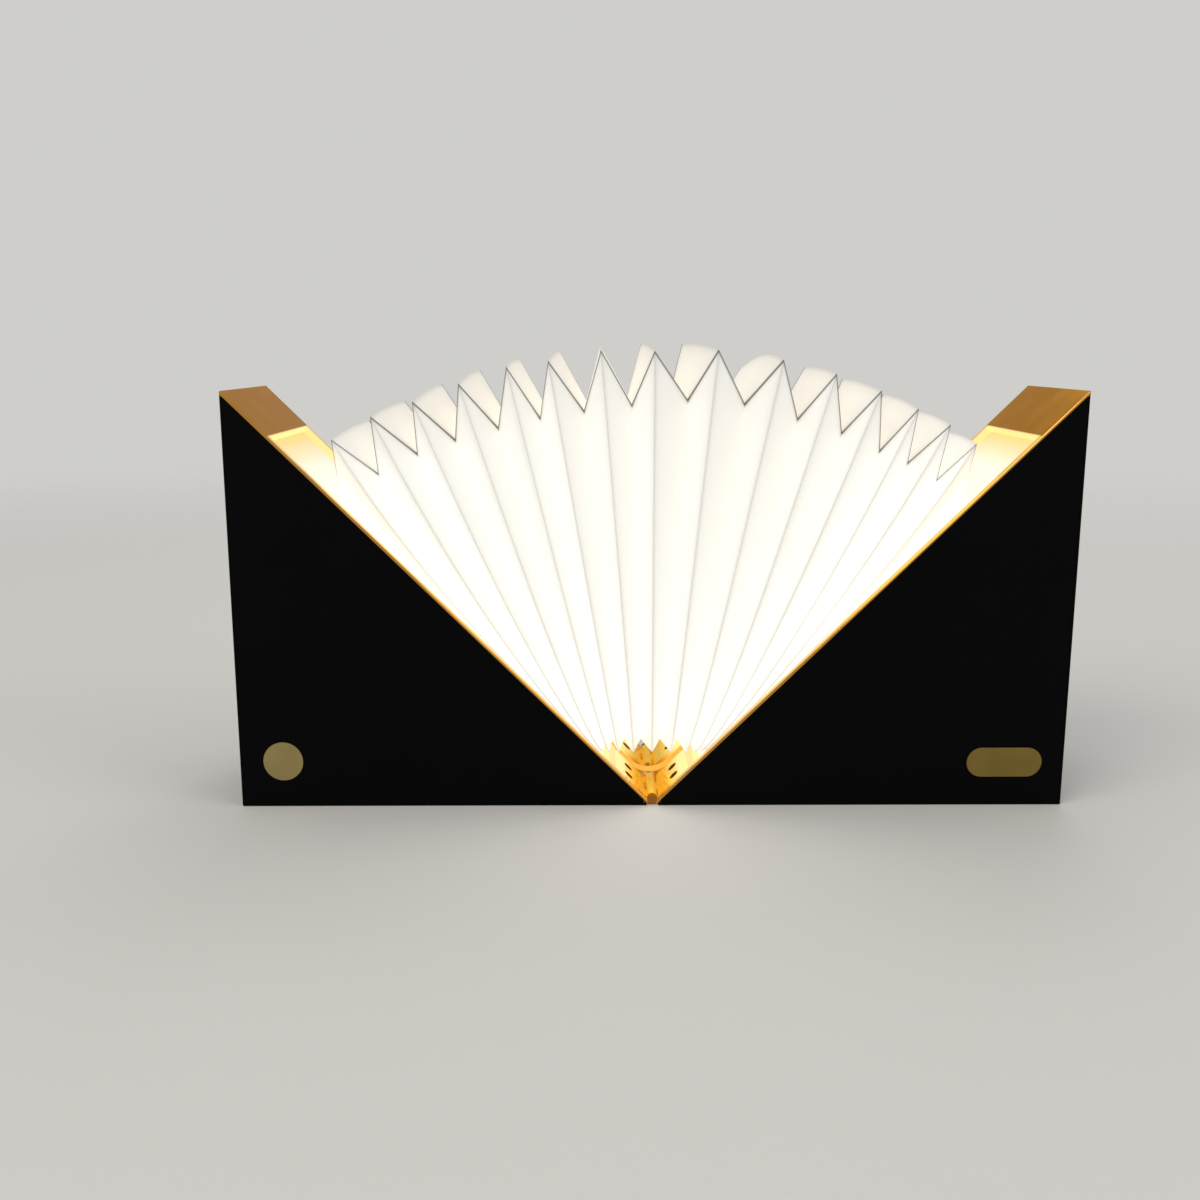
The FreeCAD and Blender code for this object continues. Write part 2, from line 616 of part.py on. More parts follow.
def button_plunger(name):
    """Reaches from the flange into the switch, clear of its floor when pressed."""
    tip = f"-{BOARD_FRONT} - switch_height + switch_bore_depth - button_travel - knuckle_gap"
    return rod(name, "y", "plunger_radius", FLANGE_BACK, tip, x=BUTTON_X, z="button_height")


def push_switch(name):
    half = "switch_side / 2"
    block = box(f"{name}_block", (f"{BUTTON_X} - {half}", f"{BUTTON_X} + {half}"),
                (SWITCH_FRONT, f"-{BOARD_FRONT}"),
                (f"button_height - {half}", f"button_height + {half}"))
    guide = rod(f"{name}_guide", "y", "plunger_radius + button_clearance",
                f"{SWITCH_FRONT} - fit_gap", f"{SWITCH_FRONT} + switch_bore_depth",
                x=BUTTON_X, z="button_height")
    return cut(name, block, [guide])


# ---- control board and what is on it, in the left half ----

def control_board(name):
    plate = box(f"{name}_plate", (BOARD_LEFT, BOARD_RIGHT), (f"-{BOARD_FRONT}", f"-{BOARD_BACK}"),
                ("circuit_board_bottom", BOARD_TOP))
    holes = [rod(f"{name}_hole_{i}", "y", "standoff_bore + fit_gap", f"-{BOARD_FRONT} - fit_gap",
                 f"-{BOARD_BACK} + fit_gap", x=x, z=z) for i, (x, z) in enumerate(STANDOFF_PLACES)]
    return cut(name, plate, holes)


def board_screws(name):
    screws = []
    for i, (x, z) in enumerate(STANDOFF_PLACES):
        head = rod(f"{name}_head_{i}", "y", "board_screw_head", f"-{BOARD_BACK}",
                   f"-{BOARD_BACK} + board_screw_head_height", x=x, z=z)
        stem = rod(f"{name}_stem_{i}", "y", "standoff_bore - pin_clearance",
                   f"-{BOARD_FRONT} - board_screw_grip", f"-{BOARD_BACK}", x=x, z=z)
        screws.append(join(f"{name}_{i}", [head, stem]))
    return group(name, screws)


def charging_port(name):
    """A flat metal shell with a contact tongue, its mouth towards the left side wall."""
    mouth = "-half_width + wall + port_recess"
    end = "-half_width + wall + port_recess + port_length"
    low_y = f"-{BOARD_BACK}"
    high_y = f"-{BOARD_BACK} + port_thickness"
    low_z = "port_height - port_width / 2"
    high_z = "port_height + port_width / 2"
    shell = box(f"{name}_shell", (mouth, end), (low_y, high_y), (low_z, high_z))
    room = box(f"{name}_room", ("-half_width", f"{end} - port_shell * 3"),
               (f"{low_y} + port_shell", f"{high_y} - port_shell"),
               (f"{low_z} + port_shell", f"{high_z} - port_shell"))
    tongue = box(f"{name}_tongue", (f"{mouth} + port_shell * 2", f"{end} - port_shell"),
                 (f"{PORT_MIDDLE_Y} - port_tongue / 2", f"{PORT_MIDDLE_Y} + port_tongue / 2"),
                 (f"{low_z} + port_shell * 4", f"{high_z} - port_shell * 4"))
    return join(name, [cut(f"{name}_open_shell", shell, [room]), tongue])


def on_board(name, x, z, length, height, thickness):
    """A small block soldered on the back of the board, from its lower right corner."""
    return box(name, (f"{BOARD_RIGHT} - ({x}) - ({length})", f"{BOARD_RIGHT} - ({x})"),
               (f"-{BOARD_BACK}", f"-{BOARD_BACK} + ({thickness})"),
               (f"circuit_board_bottom + ({z})", f"circuit_board_bottom + ({z}) + ({height})"))


def board_chips(name):
    return group(name, [on_board(f"{name}_{chip}", *[f"{chip}_{what}" for what in CHIP_SIZES])
                        for chip in CHIPS])


def connectors(name):
    size = ("connector_length", "connector_width", "connector_height")
    return group(name, [on_board(f"{name}_{use}", f"{use}_connector_in", f"{use}_connector_up",
                                 *size) for use in ("cell", "light")])


# ---- rechargeable cell ----

CELL_Z = "(wall + cradle_floor + cell_radius)"
CELL_START = "(-half_width + cell_from_side)"


def battery_cell(name):
    return rod(name, "x", "cell_radius", CELL_START, f"{CELL_START} + cell_length",
               y="cell_behind_middle", z=CELL_Z)


def battery_cradle(name):
    block = box(f"{name}_block",
                (f"{CELL_START} + cradle_inset", f"{CELL_START} + cell_length - cradle_inset"),
                ("cell_behind_middle - cell_radius", "cell_behind_middle + cell_radius"),
                ("wall", "wall + cradle_height"))
    seat = rod(f"{name}_seat", "x", "cell_radius + fit_gap", f"{CELL_START}",
               f"{CELL_START} + cell_length", y="cell_behind_middle", z=CELL_Z)
    return cut(name, block, [seat])


# ---- leads ----

def rounded_path(points):
    """Straight runs joined by arcs as large as the shorter run beside each corner allows."""
    edges = []
    start = points[0]
    for before, corner, after in zip(points, points[1:], points[2:]):
        back = (before - corner).normalize()
        ahead = (after - corner).normalize()
        reach = 0.45 * min((before - corner).Length, (after - corner).Length)
        first = corner + back * reach
        last = corner + ahead * reach
        half_turn = (math.pi - back.getAngle(ahead)) / 2
        radius = reach / math.tan(half_turn)
        middle = (back + ahead).normalize()
        centre = corner + middle * math.hypot(reach, radius)
        edges.append(Part.LineSegment(start, first).toShape())
        edges.append(Part.Arc(first, centre - middle * radius, last).toShape())
        start = last
    edges.append(Part.LineSegment(start, points[-1]).toShape())
    return Part.Wire(edges)


def lead(points, radius):
    path = rounded_path(points)
    section = Part.Wire(Part.Circle(points[0], points[1] - points[0], radius).toShape())
    solid = path.makePipeShell([section], True, False)
    print("lead", round(path.Length, 1), "mm, volume over section times length",
          round(solid.Volume / (math.pi * radius ** 2 * path.Length), 4))
    return solid


def board_place(x, z, above):
    """A point over the back of the board, from its lower right corner."""
    right = -number("half_width") + number("wall") + number("circuit_board_gap")
    right += number("circuit_board_length")
    back = number("panel_thickness") + number("standoff") + number("circuit_board_thickness")
    return FreeCAD.Vector(right - x, -number("case_depth") / 2 + back + above,
                          number("circuit_board_bottom") + z)


def connector_mouths(use):
    """The two points where leads enter a connector, one above the other."""
    x, z = number(f"{use}_connector_in"), number(f"{use}_connector_up")
    middle = z + number("connector_width") / 2
    apart = number("lead_radius") * 1.6
    return [board_place(x + number("connector_length") / 2, middle + shift,
                        number("connector_height")) for shift in (-apart, apart)]


def battery_leads(name):
    """Two leads from the near end of the cell to the lower connector."""
    start = -number("half_width") + number("cell_from_side")
    cell_y = number("cell_behind_middle")
    cell_z = number("wall") + number("cradle_floor") + number("cell_radius")
    solids = []
    for mouth, shift in zip(connector_mouths("cell"), (-1, 1)):
        across = cell_y + shift * number("lead_radius") * 2
        rise = cell_z + shift * number("lead_radius") * 3
        out = min(mouth.x, start) - number("lead_radius")
        solids.append(lead([FreeCAD.Vector(start, across, rise),
                            FreeCAD.Vector(out, across, rise),
                            FreeCAD.Vector(mouth.x, cell_y / 4, mouth.z),
                            mouth], number("lead_radius")))
    item = doc.addObject("Part::Feature", name)
    item.Shape = Part.makeCompound(solids)
    item.Placement = FreeCAD.Placement()
    return item


def slope_place(side, along, across, inward):
    root = math.sqrt(2)
    below_axis = inward + number("slope_gap")
    return FreeCAD.Vector(side * (along + below_axis) / root, across,
                          number("hinge_height") + (along - below_axis) / root)


def led_feed_leads(name):
    """Two leads from the upper connector through the slope to the back of the light board."""
    along = number("feed_along")
    landing = number("pocket_depth") - number("card_thickness")
    solids = []
    for mouth, shift in zip(connector_mouths("light"), (-1, 1)):
        across = shift * number("lead_radius") * 1.5
        clear = number("connector_height") * 1.6
        solids.append(lead([mouth, mouth + FreeCAD.Vector(0, clear, 0),
                            slope_place(-1, along - 2 * across, across, landing + clear * 3),
                            slope_place(-1, along, across, landing + clear * 1.6),
                            slope_place(-1, along, across, landing)], number("lead_radius")))
    item = doc.addObject("Part::Feature", name)
    item.Shape = Part.makeCompound(solids)
    item.Placement = FreeCAD.Placement()
    return item


def led_jumper_flex(name):
    """A flat strip from one light board to the other, bent over the hinge pin."""
    half_strip = number("jumper_thickness") / 2
    level = number("pocket_depth") - number("card_thickness") - number("board_thickness")
    inward = level - half_strip
    bend = number("jumper_bend")
    far = number("light_board_start") + number("jumper_overlap")
    below_axis = inward + number("slope_gap")
    middle_z = number("hinge_height") + (bend - below_axis) * math.sqrt(2)
    width = number("jumper_width")
    skins = []
    for shift in (half_strip, -half_strip):
        ends = [slope_place(side, far, -width / 2, inward + shift) for side in (-1, 1)]
        bends = [slope_place(side, bend - below_axis, -width / 2, inward + shift)
                 for side in (-1, 1)]
        lowest = FreeCAD.Vector(0, -width / 2, middle_z - bend - shift)
        skins.append((ends, bends, lowest))
    (low_ends, low_bends, low_middle), (top_ends, top_bends, top_middle) = skins
    edges = [Part.LineSegment(low_ends[0], low_bends[0]).toShape(),
             Part.Arc(low_bends[0], low_middle, low_bends[1]).toShape(),
             Part.LineSegment(low_bends[1], low_ends[1]).toShape(),
             Part.LineSegment(low_ends[1], top_ends[1]).toShape(),
             Part.LineSegment(top_ends[1], top_bends[1]).toShape(),
             Part.Arc(top_bends[1], top_middle, top_bends[0]).toShape(),
             Part.LineSegment(top_bends[0], top_ends[0]).toShape(),
             Part.LineSegment(top_ends[0], low_ends[0]).toShape()]
    strip = Part.Face(Part.Wire(edges)).extrude(FreeCAD.Vector(0, width, 0))
    item = doc.addObject("Part::Feature", name)
    item.Shape = strip
    item.Placement = FreeCAD.Placement()
    return item


# ---- end cards, light boards, diodes and magnets on each slope ----

def end_card(name, side):
    half = f"({POCKET_HALF} - card_margin)"
    card = box(f"{name}_sheet", ("pocket_start + card_margin", f"{POCKET_END} - card_margin"),
               (f"-{half}", half), ("-pocket_depth", f"-{CARD_TOP}"))
    if side > 0:
        return on_slope(group(name, [card]), side)
    hole = rod(f"{name}_hole", "z", "feed_hole_radius", "-pocket_depth - fit_gap",
               "-pocket_depth + card_thickness + fit_gap", x="feed_along", y="0")
    return on_slope(cut(name, card, [hole]), side)


def light_board(name, side):
    strip = box(f"{name}_strip", ("light_board_start", LIGHT_BOARD_END),
                ("-light_board_width / 2", "light_board_width / 2"),
                (f"-{CARD_TOP}", f"-{LIGHT_BOARD_TOP}"))
    return on_slope(group(name, [strip]), side)


def light_chips(name, side):
    """A row of diodes, evenly spaced between the jumper and the far end of the board."""
    count = int(number("led_count"))
    first = "(light_board_start + jumper_overlap + led_length)"
    last = f"({LIGHT_BOARD_END} - led_length)"
    diodes = []
    for i in range(count):
        middle = f"({first} + ({last} - {first}) * {i} / {count - 1})"
        diodes.append(box(f"{name}_{i}", (f"{middle} - led_length / 2", f"{middle} + led_length / 2"),
                          ("-led_width / 2", "led_width / 2"),
                          (f"-{LIGHT_BOARD_TOP}", f"-{LIGHT_BOARD_TOP} + led_height")))
    return on_slope(group(name, diodes), side)


def magnets(name, side):
    """Bar magnets, pushed in from the front and the back under the panels."""
    end = f"{SLOPE_LENGTH} - magnet_from_top"
    spans = both_ends(f"{PANEL_BACK} - magnet_width", PANEL_BACK)
    return on_slope(group(name, [box(f"{name}_{i}", (f"{end} - magnet_length", end), span,
                                     ("-magnet_cover - magnet_height", "-magnet_cover"))
                                 for i, span in enumerate(spans)]), side)


# ---- pleated paper shade ----

def fold_path(index, folds, back):
    """Front or back view of one fold, as (x, z) from its lower end to its outer end."""
    share = 2 * index / folds - 1
    peak = index % 2 == 1
    rise = number("hinge_height")
    offset = (number("slope_gap") + number("pocket_depth") - number("card_thickness")
              - number("paper_gap"))
    side_radius = (number("half_width") * math.sqrt(2) - number("slope_gap") - number("end_land")
                   - number("peak_gap"))
    if not peak:
        side_radius -= number("fold_height")
    arch = number("peak_arch") if peak else number("valley_arch")
    end_angle = 45 + math.degrees(math.asin(offset / side_radius))
    wave = math.sin(math.pi * share)
    angle = (end_angle * share + number("fan_bulge") * wave + number("fan_skew") * abs(wave)
             + number("fan_lean") * (1 - share ** 2))
    if peak:
        angle *= number("peak_spread")
    radius = side_radius - arch * (1 - (angle / end_angle) ** 2)
    if back:
        free = 1 - share ** 8
        off_dip = (angle - number("back_dip_angle")) / number("back_dip_angle")
        angle += free * (number("back_turn") - number("back_dip") * math.exp(-off_dip ** 2))
        radius += free * number("back_rise")
    outer = (radius * math.sin(math.radians(angle)), rise + radius * math.cos(math.radians(angle)))
    start = number("shade_start")
    crowding = number("start_crowding")
    even = number("start_even_share")
    widest = start - rise + offset * math.sqrt(2)
    lower = (widest * ((1 - even) * math.tanh(crowding * share) / math.tanh(crowding)
                       + even * share), start)
    aim = -number("fan_centre_depth")
    slant = outer[0] / (outer[1] - aim)
    meets = (abs(slant) * aim - rise + offset * math.sqrt(2)) / (abs(slant) - 1)
    bend_z = max(start, min(meets, outer[1]))
    bend = (slant * (bend_z - aim), bend_z)
    points = []
    for step in range(PATH_STEPS + 1):
        t = step / PATH_STEPS
        points.append(tuple(lower[k] * (1 - t) ** 2 + 2 * bend[k] * t * (1 - t) + outer[k] * t * t
                            for k in (0, 1)))
    return points


def fold_line(index, folds, inner):
    """One fold round the shade: up the front, over the outer wall and down the back."""
    skin = number("paper_skin") if inner else 0
    near = number("case_depth") / 2 - number("pocket_lip") - number("shade_side_gap")
    if index % 2 == 0:
        near -= number("fold_depth")
    near -= skin
    rise = number("hinge_height")
    line = []
    for side in (-1, 1):
        path = fold_path(index, folds, side > 0)
        x, z = path[-1]
        keep = 1 - skin / math.hypot(x, z - rise)
        path[-1] = (x * keep, rise + (z - rise) * keep)
        line.append([FreeCAD.Vector(px, side * near, pz) for px, pz in path])
    front, back = line
    middle = (front[-1] + back[-1]) / 2
    swell = 1 + number("shade_crown") / math.hypot(middle.x, middle.z - rise)
    crown = FreeCAD.Vector(middle.x * swell, 0, rise + (middle.z - rise) * swell)
    return front + [crown] + back[::-1]


def quad(a, b, c, d):
    """Two flat triangles over four corners."""
    return [Part.Face(Part.makePolygon([a, b, c, a])), Part.Face(Part.makePolygon([a, c, d, a]))]


def paper_shade(name):
    """One folded sheet with outer folds and inner folds in turn, open below and inside."""
    folds = 2 * int(number("pleat_count"))
    outer = [fold_line(i, folds, False) for i in range(folds + 1)]
    inner = [fold_line(i, folds, True) for i in range(folds + 1)]
    faces = []
    for lines, next_lines in zip(zip(outer, inner), zip(outer[1:], inner[1:])):
        for line, next_line in zip(lines, next_lines):
            for i in range(len(line) - 1):
                faces += quad(line[i], line[i + 1], next_line[i + 1], next_line[i])
        for i in (0, -1):
            faces += quad(lines[0][i], lines[1][i], next_lines[1][i], next_lines[0][i])
    for i in (0, -1):
        for j in range(len(outer[i]) - 1):
            faces += quad(outer[i][j], outer[i][j + 1], inner[i][j + 1], inner[i][j])
    shell = Part.Shell(faces)
    solid = Part.Solid(shell)
    if solid.Volume < 0:
        solid = Part.Solid(shell.reversed())
    item = doc.addObject("Part::Feature", name)
    item.Shape = solid
    item.Placement = FreeCAD.Placement()
    return item


# ---- the lamp ----

for half, side in SIDES.items():
    piece(case_frame(f"{half}_frame", side), f"{half}_frame")
    piece(back_panel(f"{half}_back_panel", side), f"{half}_back_panel")
    piece(back_screws(f"{half}_back_screws", side), f"{half}_back_screws")
    piece(hinge_leaves(f"{half}_hinge_leaves", side), f"{half}_hinge_leaves")
    piece(group(f"{half}_hinge_screws",
                [square_to_slope(countersunk_screw(f"{half}_hinge_screw_{i}", *HINGE_SCREW),
                                 side, "hinge_screw_along", across, "leaf_sink")
                 for i, across in enumerate(HINGE_SCREW_ACROSS)]), f"{half}_hinge_screws")
    piece(end_card(f"{half}_end_card", side), f"{half}_end_card")
    piece(light_board(f"{half}_light_board", side), f"{half}_light_board")
    piece(light_chips(f"{half}_light_chips", side), f"{half}_light_chips")
    piece(magnets(f"{half}_magnets", side), f"{half}_magnets")

for maker, name in ((left_front_panel, "left_front_panel"),
                    (right_front_panel, "right_front_panel"),
                    (badge_plate, "badge_plate"),
                    (hinge_pin, "hinge_pin"),
                    (button_cap, "button_cap"),
                    (button_plunger, "button_plunger"),
                    (push_switch, "push_switch"),
                    (control_board, "control_board"),
                    (board_screws, "board_screws"),
                    (charging_port, "charging_port"),
                    (board_chips, "board_chips"),
                    (connectors, "connectors"),
                    (battery_cell, "battery_cell"),
                    (battery_cradle, "battery_cradle"),
                    (battery_leads, "battery_leads"),
                    (led_feed_leads, "led_feed_leads"),
                    (led_jumper_flex, "led_jumper_flex"),
                    (paper_shade, "paper_shade")):
    piece(maker(name), name)

doc.recompute()

faulty = [item.Label for item in doc.Objects if {"Invalid", "Error"} & set(item.State)]
if faulty:
    raise RuntimeError(f"these objects failed: {faulty}")
for solid in pieces:
    if solid.Shape.isNull() or not solid.Shape.isValid() or not solid.Shape.Solids:
        raise RuntimeError(f"{solid.Label} has no valid solid")

os.makedirs("parts", exist_ok=True)
for solid in pieces:
    solid.Shape.exportStep(f"parts/{solid.Label}.step")
    bounds = solid.Shape.BoundBox
    print(f"{solid.Label}: {len(solid.Shape.Solids)} solid(s), {solid.Shape.Volume:.0f} mm3,",
          f"X {bounds.XMin:.1f} to {bounds.XMax:.1f}, Y {bounds.YMin:.1f} to {bounds.YMax:.1f},",
          f"Z {bounds.ZMin:.1f} to {bounds.ZMax:.1f}")
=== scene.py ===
"""Folding table lamp: two black and gold case halves, hinged at the floor, open a fan of pleated paper."""
import math

import bpy
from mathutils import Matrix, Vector
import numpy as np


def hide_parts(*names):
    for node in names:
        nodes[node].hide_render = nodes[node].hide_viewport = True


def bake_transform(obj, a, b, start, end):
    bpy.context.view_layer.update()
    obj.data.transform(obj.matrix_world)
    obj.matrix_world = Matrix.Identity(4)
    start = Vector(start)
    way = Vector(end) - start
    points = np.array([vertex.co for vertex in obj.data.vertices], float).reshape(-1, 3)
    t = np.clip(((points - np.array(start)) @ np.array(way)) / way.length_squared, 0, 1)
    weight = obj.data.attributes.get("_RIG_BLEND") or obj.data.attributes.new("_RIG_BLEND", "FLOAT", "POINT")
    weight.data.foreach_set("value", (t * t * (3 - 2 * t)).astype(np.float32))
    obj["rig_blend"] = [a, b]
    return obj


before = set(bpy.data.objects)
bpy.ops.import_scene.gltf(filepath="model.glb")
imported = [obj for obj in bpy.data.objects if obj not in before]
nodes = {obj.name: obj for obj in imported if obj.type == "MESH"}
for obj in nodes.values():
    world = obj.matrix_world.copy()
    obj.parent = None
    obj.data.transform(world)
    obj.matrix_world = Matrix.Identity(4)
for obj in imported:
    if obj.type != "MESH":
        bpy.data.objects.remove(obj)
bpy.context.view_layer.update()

# ---- camera ----
# It stands a little to the left of the lamp, level with the top of the cases, and looks slightly
# down. Its place and lens were fitted to the corners of both case halves in the 1200 by 1200 photo.
eye = bpy.data.cameras.new("photo_eye")
eye.lens, eye.sensor_width, eye.sensor_fit = 37.85, 36, "AUTO"
camera = bpy.data.objects.new("photo_camera", eye)
camera.location = (-0.01888, -0.40598, 0.14172)
camera.rotation_euler = (math.radians(90 - 11.273), 0, math.radians(-0.357))
bpy.context.collection.objects.link(camera)
bpy.context.scene.camera = camera
bpy.context.scene.view_settings.view_transform = "Standard"


# ---- floor ----
# The table top under the lamp: a board with a pale paint, which dries smooth and matt. It is much
# larger than the lamp, and far off it fades into the pale room.
def linear(hex_text):
    """An sRGB hex colour as the linear colour that a shader takes."""
    parts = [int(hex_text[i:i + 2], 16) / 255 for i in (1, 3, 5)]
    return [p / 12.92 if p <= 0.04045 else ((p + 0.055) / 1.055) ** 2.4 for p in parts] + [1]


def add_node(tree, kind, links=(), values=(), **settings):
    """A shader node, with its links as (input, node, output) and its values as (input, value)."""
    node = tree.nodes.new(kind)
    for key, value in settings.items():
        setattr(node, key, value)
    for key, value in values:
        node.inputs[key].default_value = value
    for key, source, output in links:
        tree.links.new(source.outputs[output], node.inputs[key])
    return node


bpy.ops.object.select_all(action="DESELECT")
bpy.ops.mesh.primitive_plane_add(size=9)
table_top = bpy.context.object
table_top.name = "table_top"
paint = bpy.data.materials.new("matt_painted_board")
paint.use_nodes = True
tree = paint.node_tree
bsdf = tree.nodes["Principled BSDF"]
bsdf.inputs["Base Color"].default_value = linear("#F2F1F0")
bsdf.inputs["Roughness"].default_value = 0.75
bsdf.inputs["Specular IOR Level"].default_value = 0.2
place = add_node(tree, "ShaderNodeTexCoord")
away = add_node(tree, "ShaderNodeVectorMath", operation="LENGTH", links=[(0, place, "Object")])
fade = add_node(tree, "ShaderNodeMapRange", interpolation_type="SMOOTHSTEP",
                links=[("Value", away, "Value")], values=[("From Min", 0.45), ("From Max", 1.3)])
clear = add_node(tree, "ShaderNodeBsdfTransparent")
either = add_node(tree, "ShaderNodeMixShader", links=[(0, fade, 0), (1, bsdf, 0), (2, clear, 0)])
tree.links.new(either.outputs[0], tree.nodes["Material Output"].inputs["Surface"])
table_top.data.materials.append(paint)

# ---- studio light ----
# A pale room, a large soft lamp at the upper left, a weaker one at the right and one from behind.
# Mirrors and the camera see the room a little brighter than it lights the lamp.
room = bpy.data.worlds.new("pale_room")
bpy.context.scene.world = room
room.use_nodes = True
tree = room.node_tree
tree.nodes.clear()
ray = add_node(tree, "ShaderNodeLightPath")
seen = add_node(tree, "ShaderNodeMath", operation="MAXIMUM",
                links=[(0, ray, "Is Camera Ray"), (1, ray, "Is Glossy Ray")])
seen = add_node(tree, "ShaderNodeMath", operation="MAXIMUM",
                links=[(0, seen, 0), (1, ray, "Is Transmission Ray")])
lighting = add_node(tree, "ShaderNodeBackground",
                    values=[("Color", linear("#F6F4F0")), ("Strength", 0.42)])
backdrop = add_node(tree, "ShaderNodeBackground",
                    values=[("Color", linear("#CFCECB")), ("Strength", 1.0)])
either = add_node(tree, "ShaderNodeMixShader", links=[(0, seen, 0), (1, lighting, 0), (2, backdrop, 0)])
add_node(tree, "ShaderNodeOutputWorld", links=[(0, either, 0)])

for name, place, size, power, tint in (("key_lamp", (-0.9, -1.0, 1.3), 1.1, 9.0, "#FFFAF2"),
                                       ("fill_lamp", (1.3, -0.7, 0.8), 1.0, 3.5, "#FFFCF6"),
                                       ("rear_lamp", (0.3, 1.3, 1.2), 1.0, 4.0, "#FFFFFF")):
    lamp = bpy.data.lights.new(name, "AREA")
    lamp.size, lamp.energy, lamp.color = size, power, linear(tint)[:3]
    holder = bpy.data.objects.new(name, lamp)
    holder.location = place
    holder.rotation_euler = (Vector((0, 0, 0.06)) - Vector(place)).to_track_quat("-Z", "Y").to_euler()
    bpy.context.collection.objects.link(holder)

# ---- paper shade ----
# One sheet of stiff white paper, pleated 15 times, then folded round twice so that it has a front,
# an outer and a back wall. Its lower edge is open over the hinge, and both ends are glued to cards.
HINGE = 1.7            # hinge axis above the table
PAPER_OFFSET = 2.7     # hinge axis to the paper on a card, square to the slope
HALF_WIDTH = 129.3     # hinge axis to the outer side of a half
SLOPE_GAP = 1          # hinge axis to the slope
END_LAND = 19.5        # solid land between the recess and the top corner
PEAK_GAP = 11.2        # far end of the recess to the outer folds beside it
FOLD_HEIGHT = 15.2     # outer to inner folds, away from the hinge
OUTER_HALF, INNER_HALF = 24.5, 10.5            # middle of the case to the outer and the inner folds
LOWER_EDGE = 16.6      # the paper's lower edge above the table
AIM_DEPTH = 50.7       # the folds aim at a point this far under the table
CROWN, SOFT_CROWN = 0.6, 2.6                   # how far the outer wall and the soft pleat bulge
BOW = 0.5              # how far a facet bows
FOLDS = 30
SOFT_PLEAT = 19
# Where a facet has its points: across it from fold to fold, and along it up the front, over the wall
# and down the back. They lie closer together beside the folds.
ACROSS = (0, 0.05, 0.27, 0.5, 0.73, 0.95)
UP = [step / 28 * 0.965 for step in range(29)] + [0.985, 1]
OVER = (0.02, 0.07, 0.16, 0.27, 0.38, 0.5, 0.62, 0.73, 0.84, 0.93, 0.98)
WAYS = UP + [1 + step for step in OVER] + [3 - step for step in reversed(UP)]
# Folded by hand, the pleats aren't quite even, so the top corner of each fold is where the photo shows
# it: across and down in pixels, listed from left to right. The first list is the front corners of the
# folds between the two glued ones, the second the back corners of the outer folds. Corners that hide
# behind the next pleat are put where their edge would meet it.
FRONT_CORNERS = ((331, 440), (378, 474), (370, 417), (417, 454), (412, 402), (455, 440), (458, 384),
                 (498, 428), (506, 367), (540, 418), (548, 361), (584, 411), (601, 350), (632, 405),
                 (655, 351), (688, 400), (719, 350), (745, 404), (784, 360), (798, 419), (837, 374),
                 (842, 433), (882, 391), (880, 451), (919, 409), (908, 463), (951, 425), (937, 480),
                 (977, 444))
BACK_CORNERS = ((369, 420), (405, 401), (442, 384), (480, 370), (520, 359), (560, 351), (600, 346),
                (641, 344), (682, 344), (740, 369), (805, 367), (842, 379), (883, 394), (917, 411),
                (947, 432))
PHOTO_SIDE = 1200


def seen_at(pixel, depth):
    """The point, in mm, that the photo shows at a pixel, on the upright plane at this depth."""
    across, down = pixel
    sight = Vector((across / PHOTO_SIDE - 0.5, 0.5 - down / PHOTO_SIDE, -eye.lens / eye.sensor_width))
    sight.rotate(camera.rotation_euler)
    start = camera.location * 1000
    return start + sight * ((depth - start.y) / sight.y)


def fold_end(index, back):
    """Angle from upright, in degrees, and distance from the hinge, of a fold's front or back corner."""
    # The two end folds lie on the cards, and reach as far out as an inner fold would.
    if index in (0, FOLDS):
        radius = HALF_WIDTH * math.sqrt(2) - SLOPE_GAP - END_LAND - PEAK_GAP - FOLD_HEIGHT
        angle = 45 + math.degrees(math.asin(PAPER_OFFSET / radius))
        return angle if index else -angle, radius
    outer = index % 2 == 1
    # The photo hides the inner folds at the back. Each keeps the mean of what its neighbours do on the
    # way from the front to the back.
    if back and not outer:
        beside = index - 1, index + 1
        return [at + sum(fold_end(i, True)[k] - fold_end(i, False)[k] for i in beside) / 2
                for k, at in enumerate(fold_end(index, False))]
    if back:
        corner = seen_at(BACK_CORNERS[index // 2], OUTER_HALF)
    else:
        corner = seen_at(FRONT_CORNERS[index - 1], -OUTER_HALF if outer else -INNER_HALF)
    return math.degrees(math.atan2(corner.x, corner.z - HINGE)), math.hypot(corner.x, corner.z - HINGE)


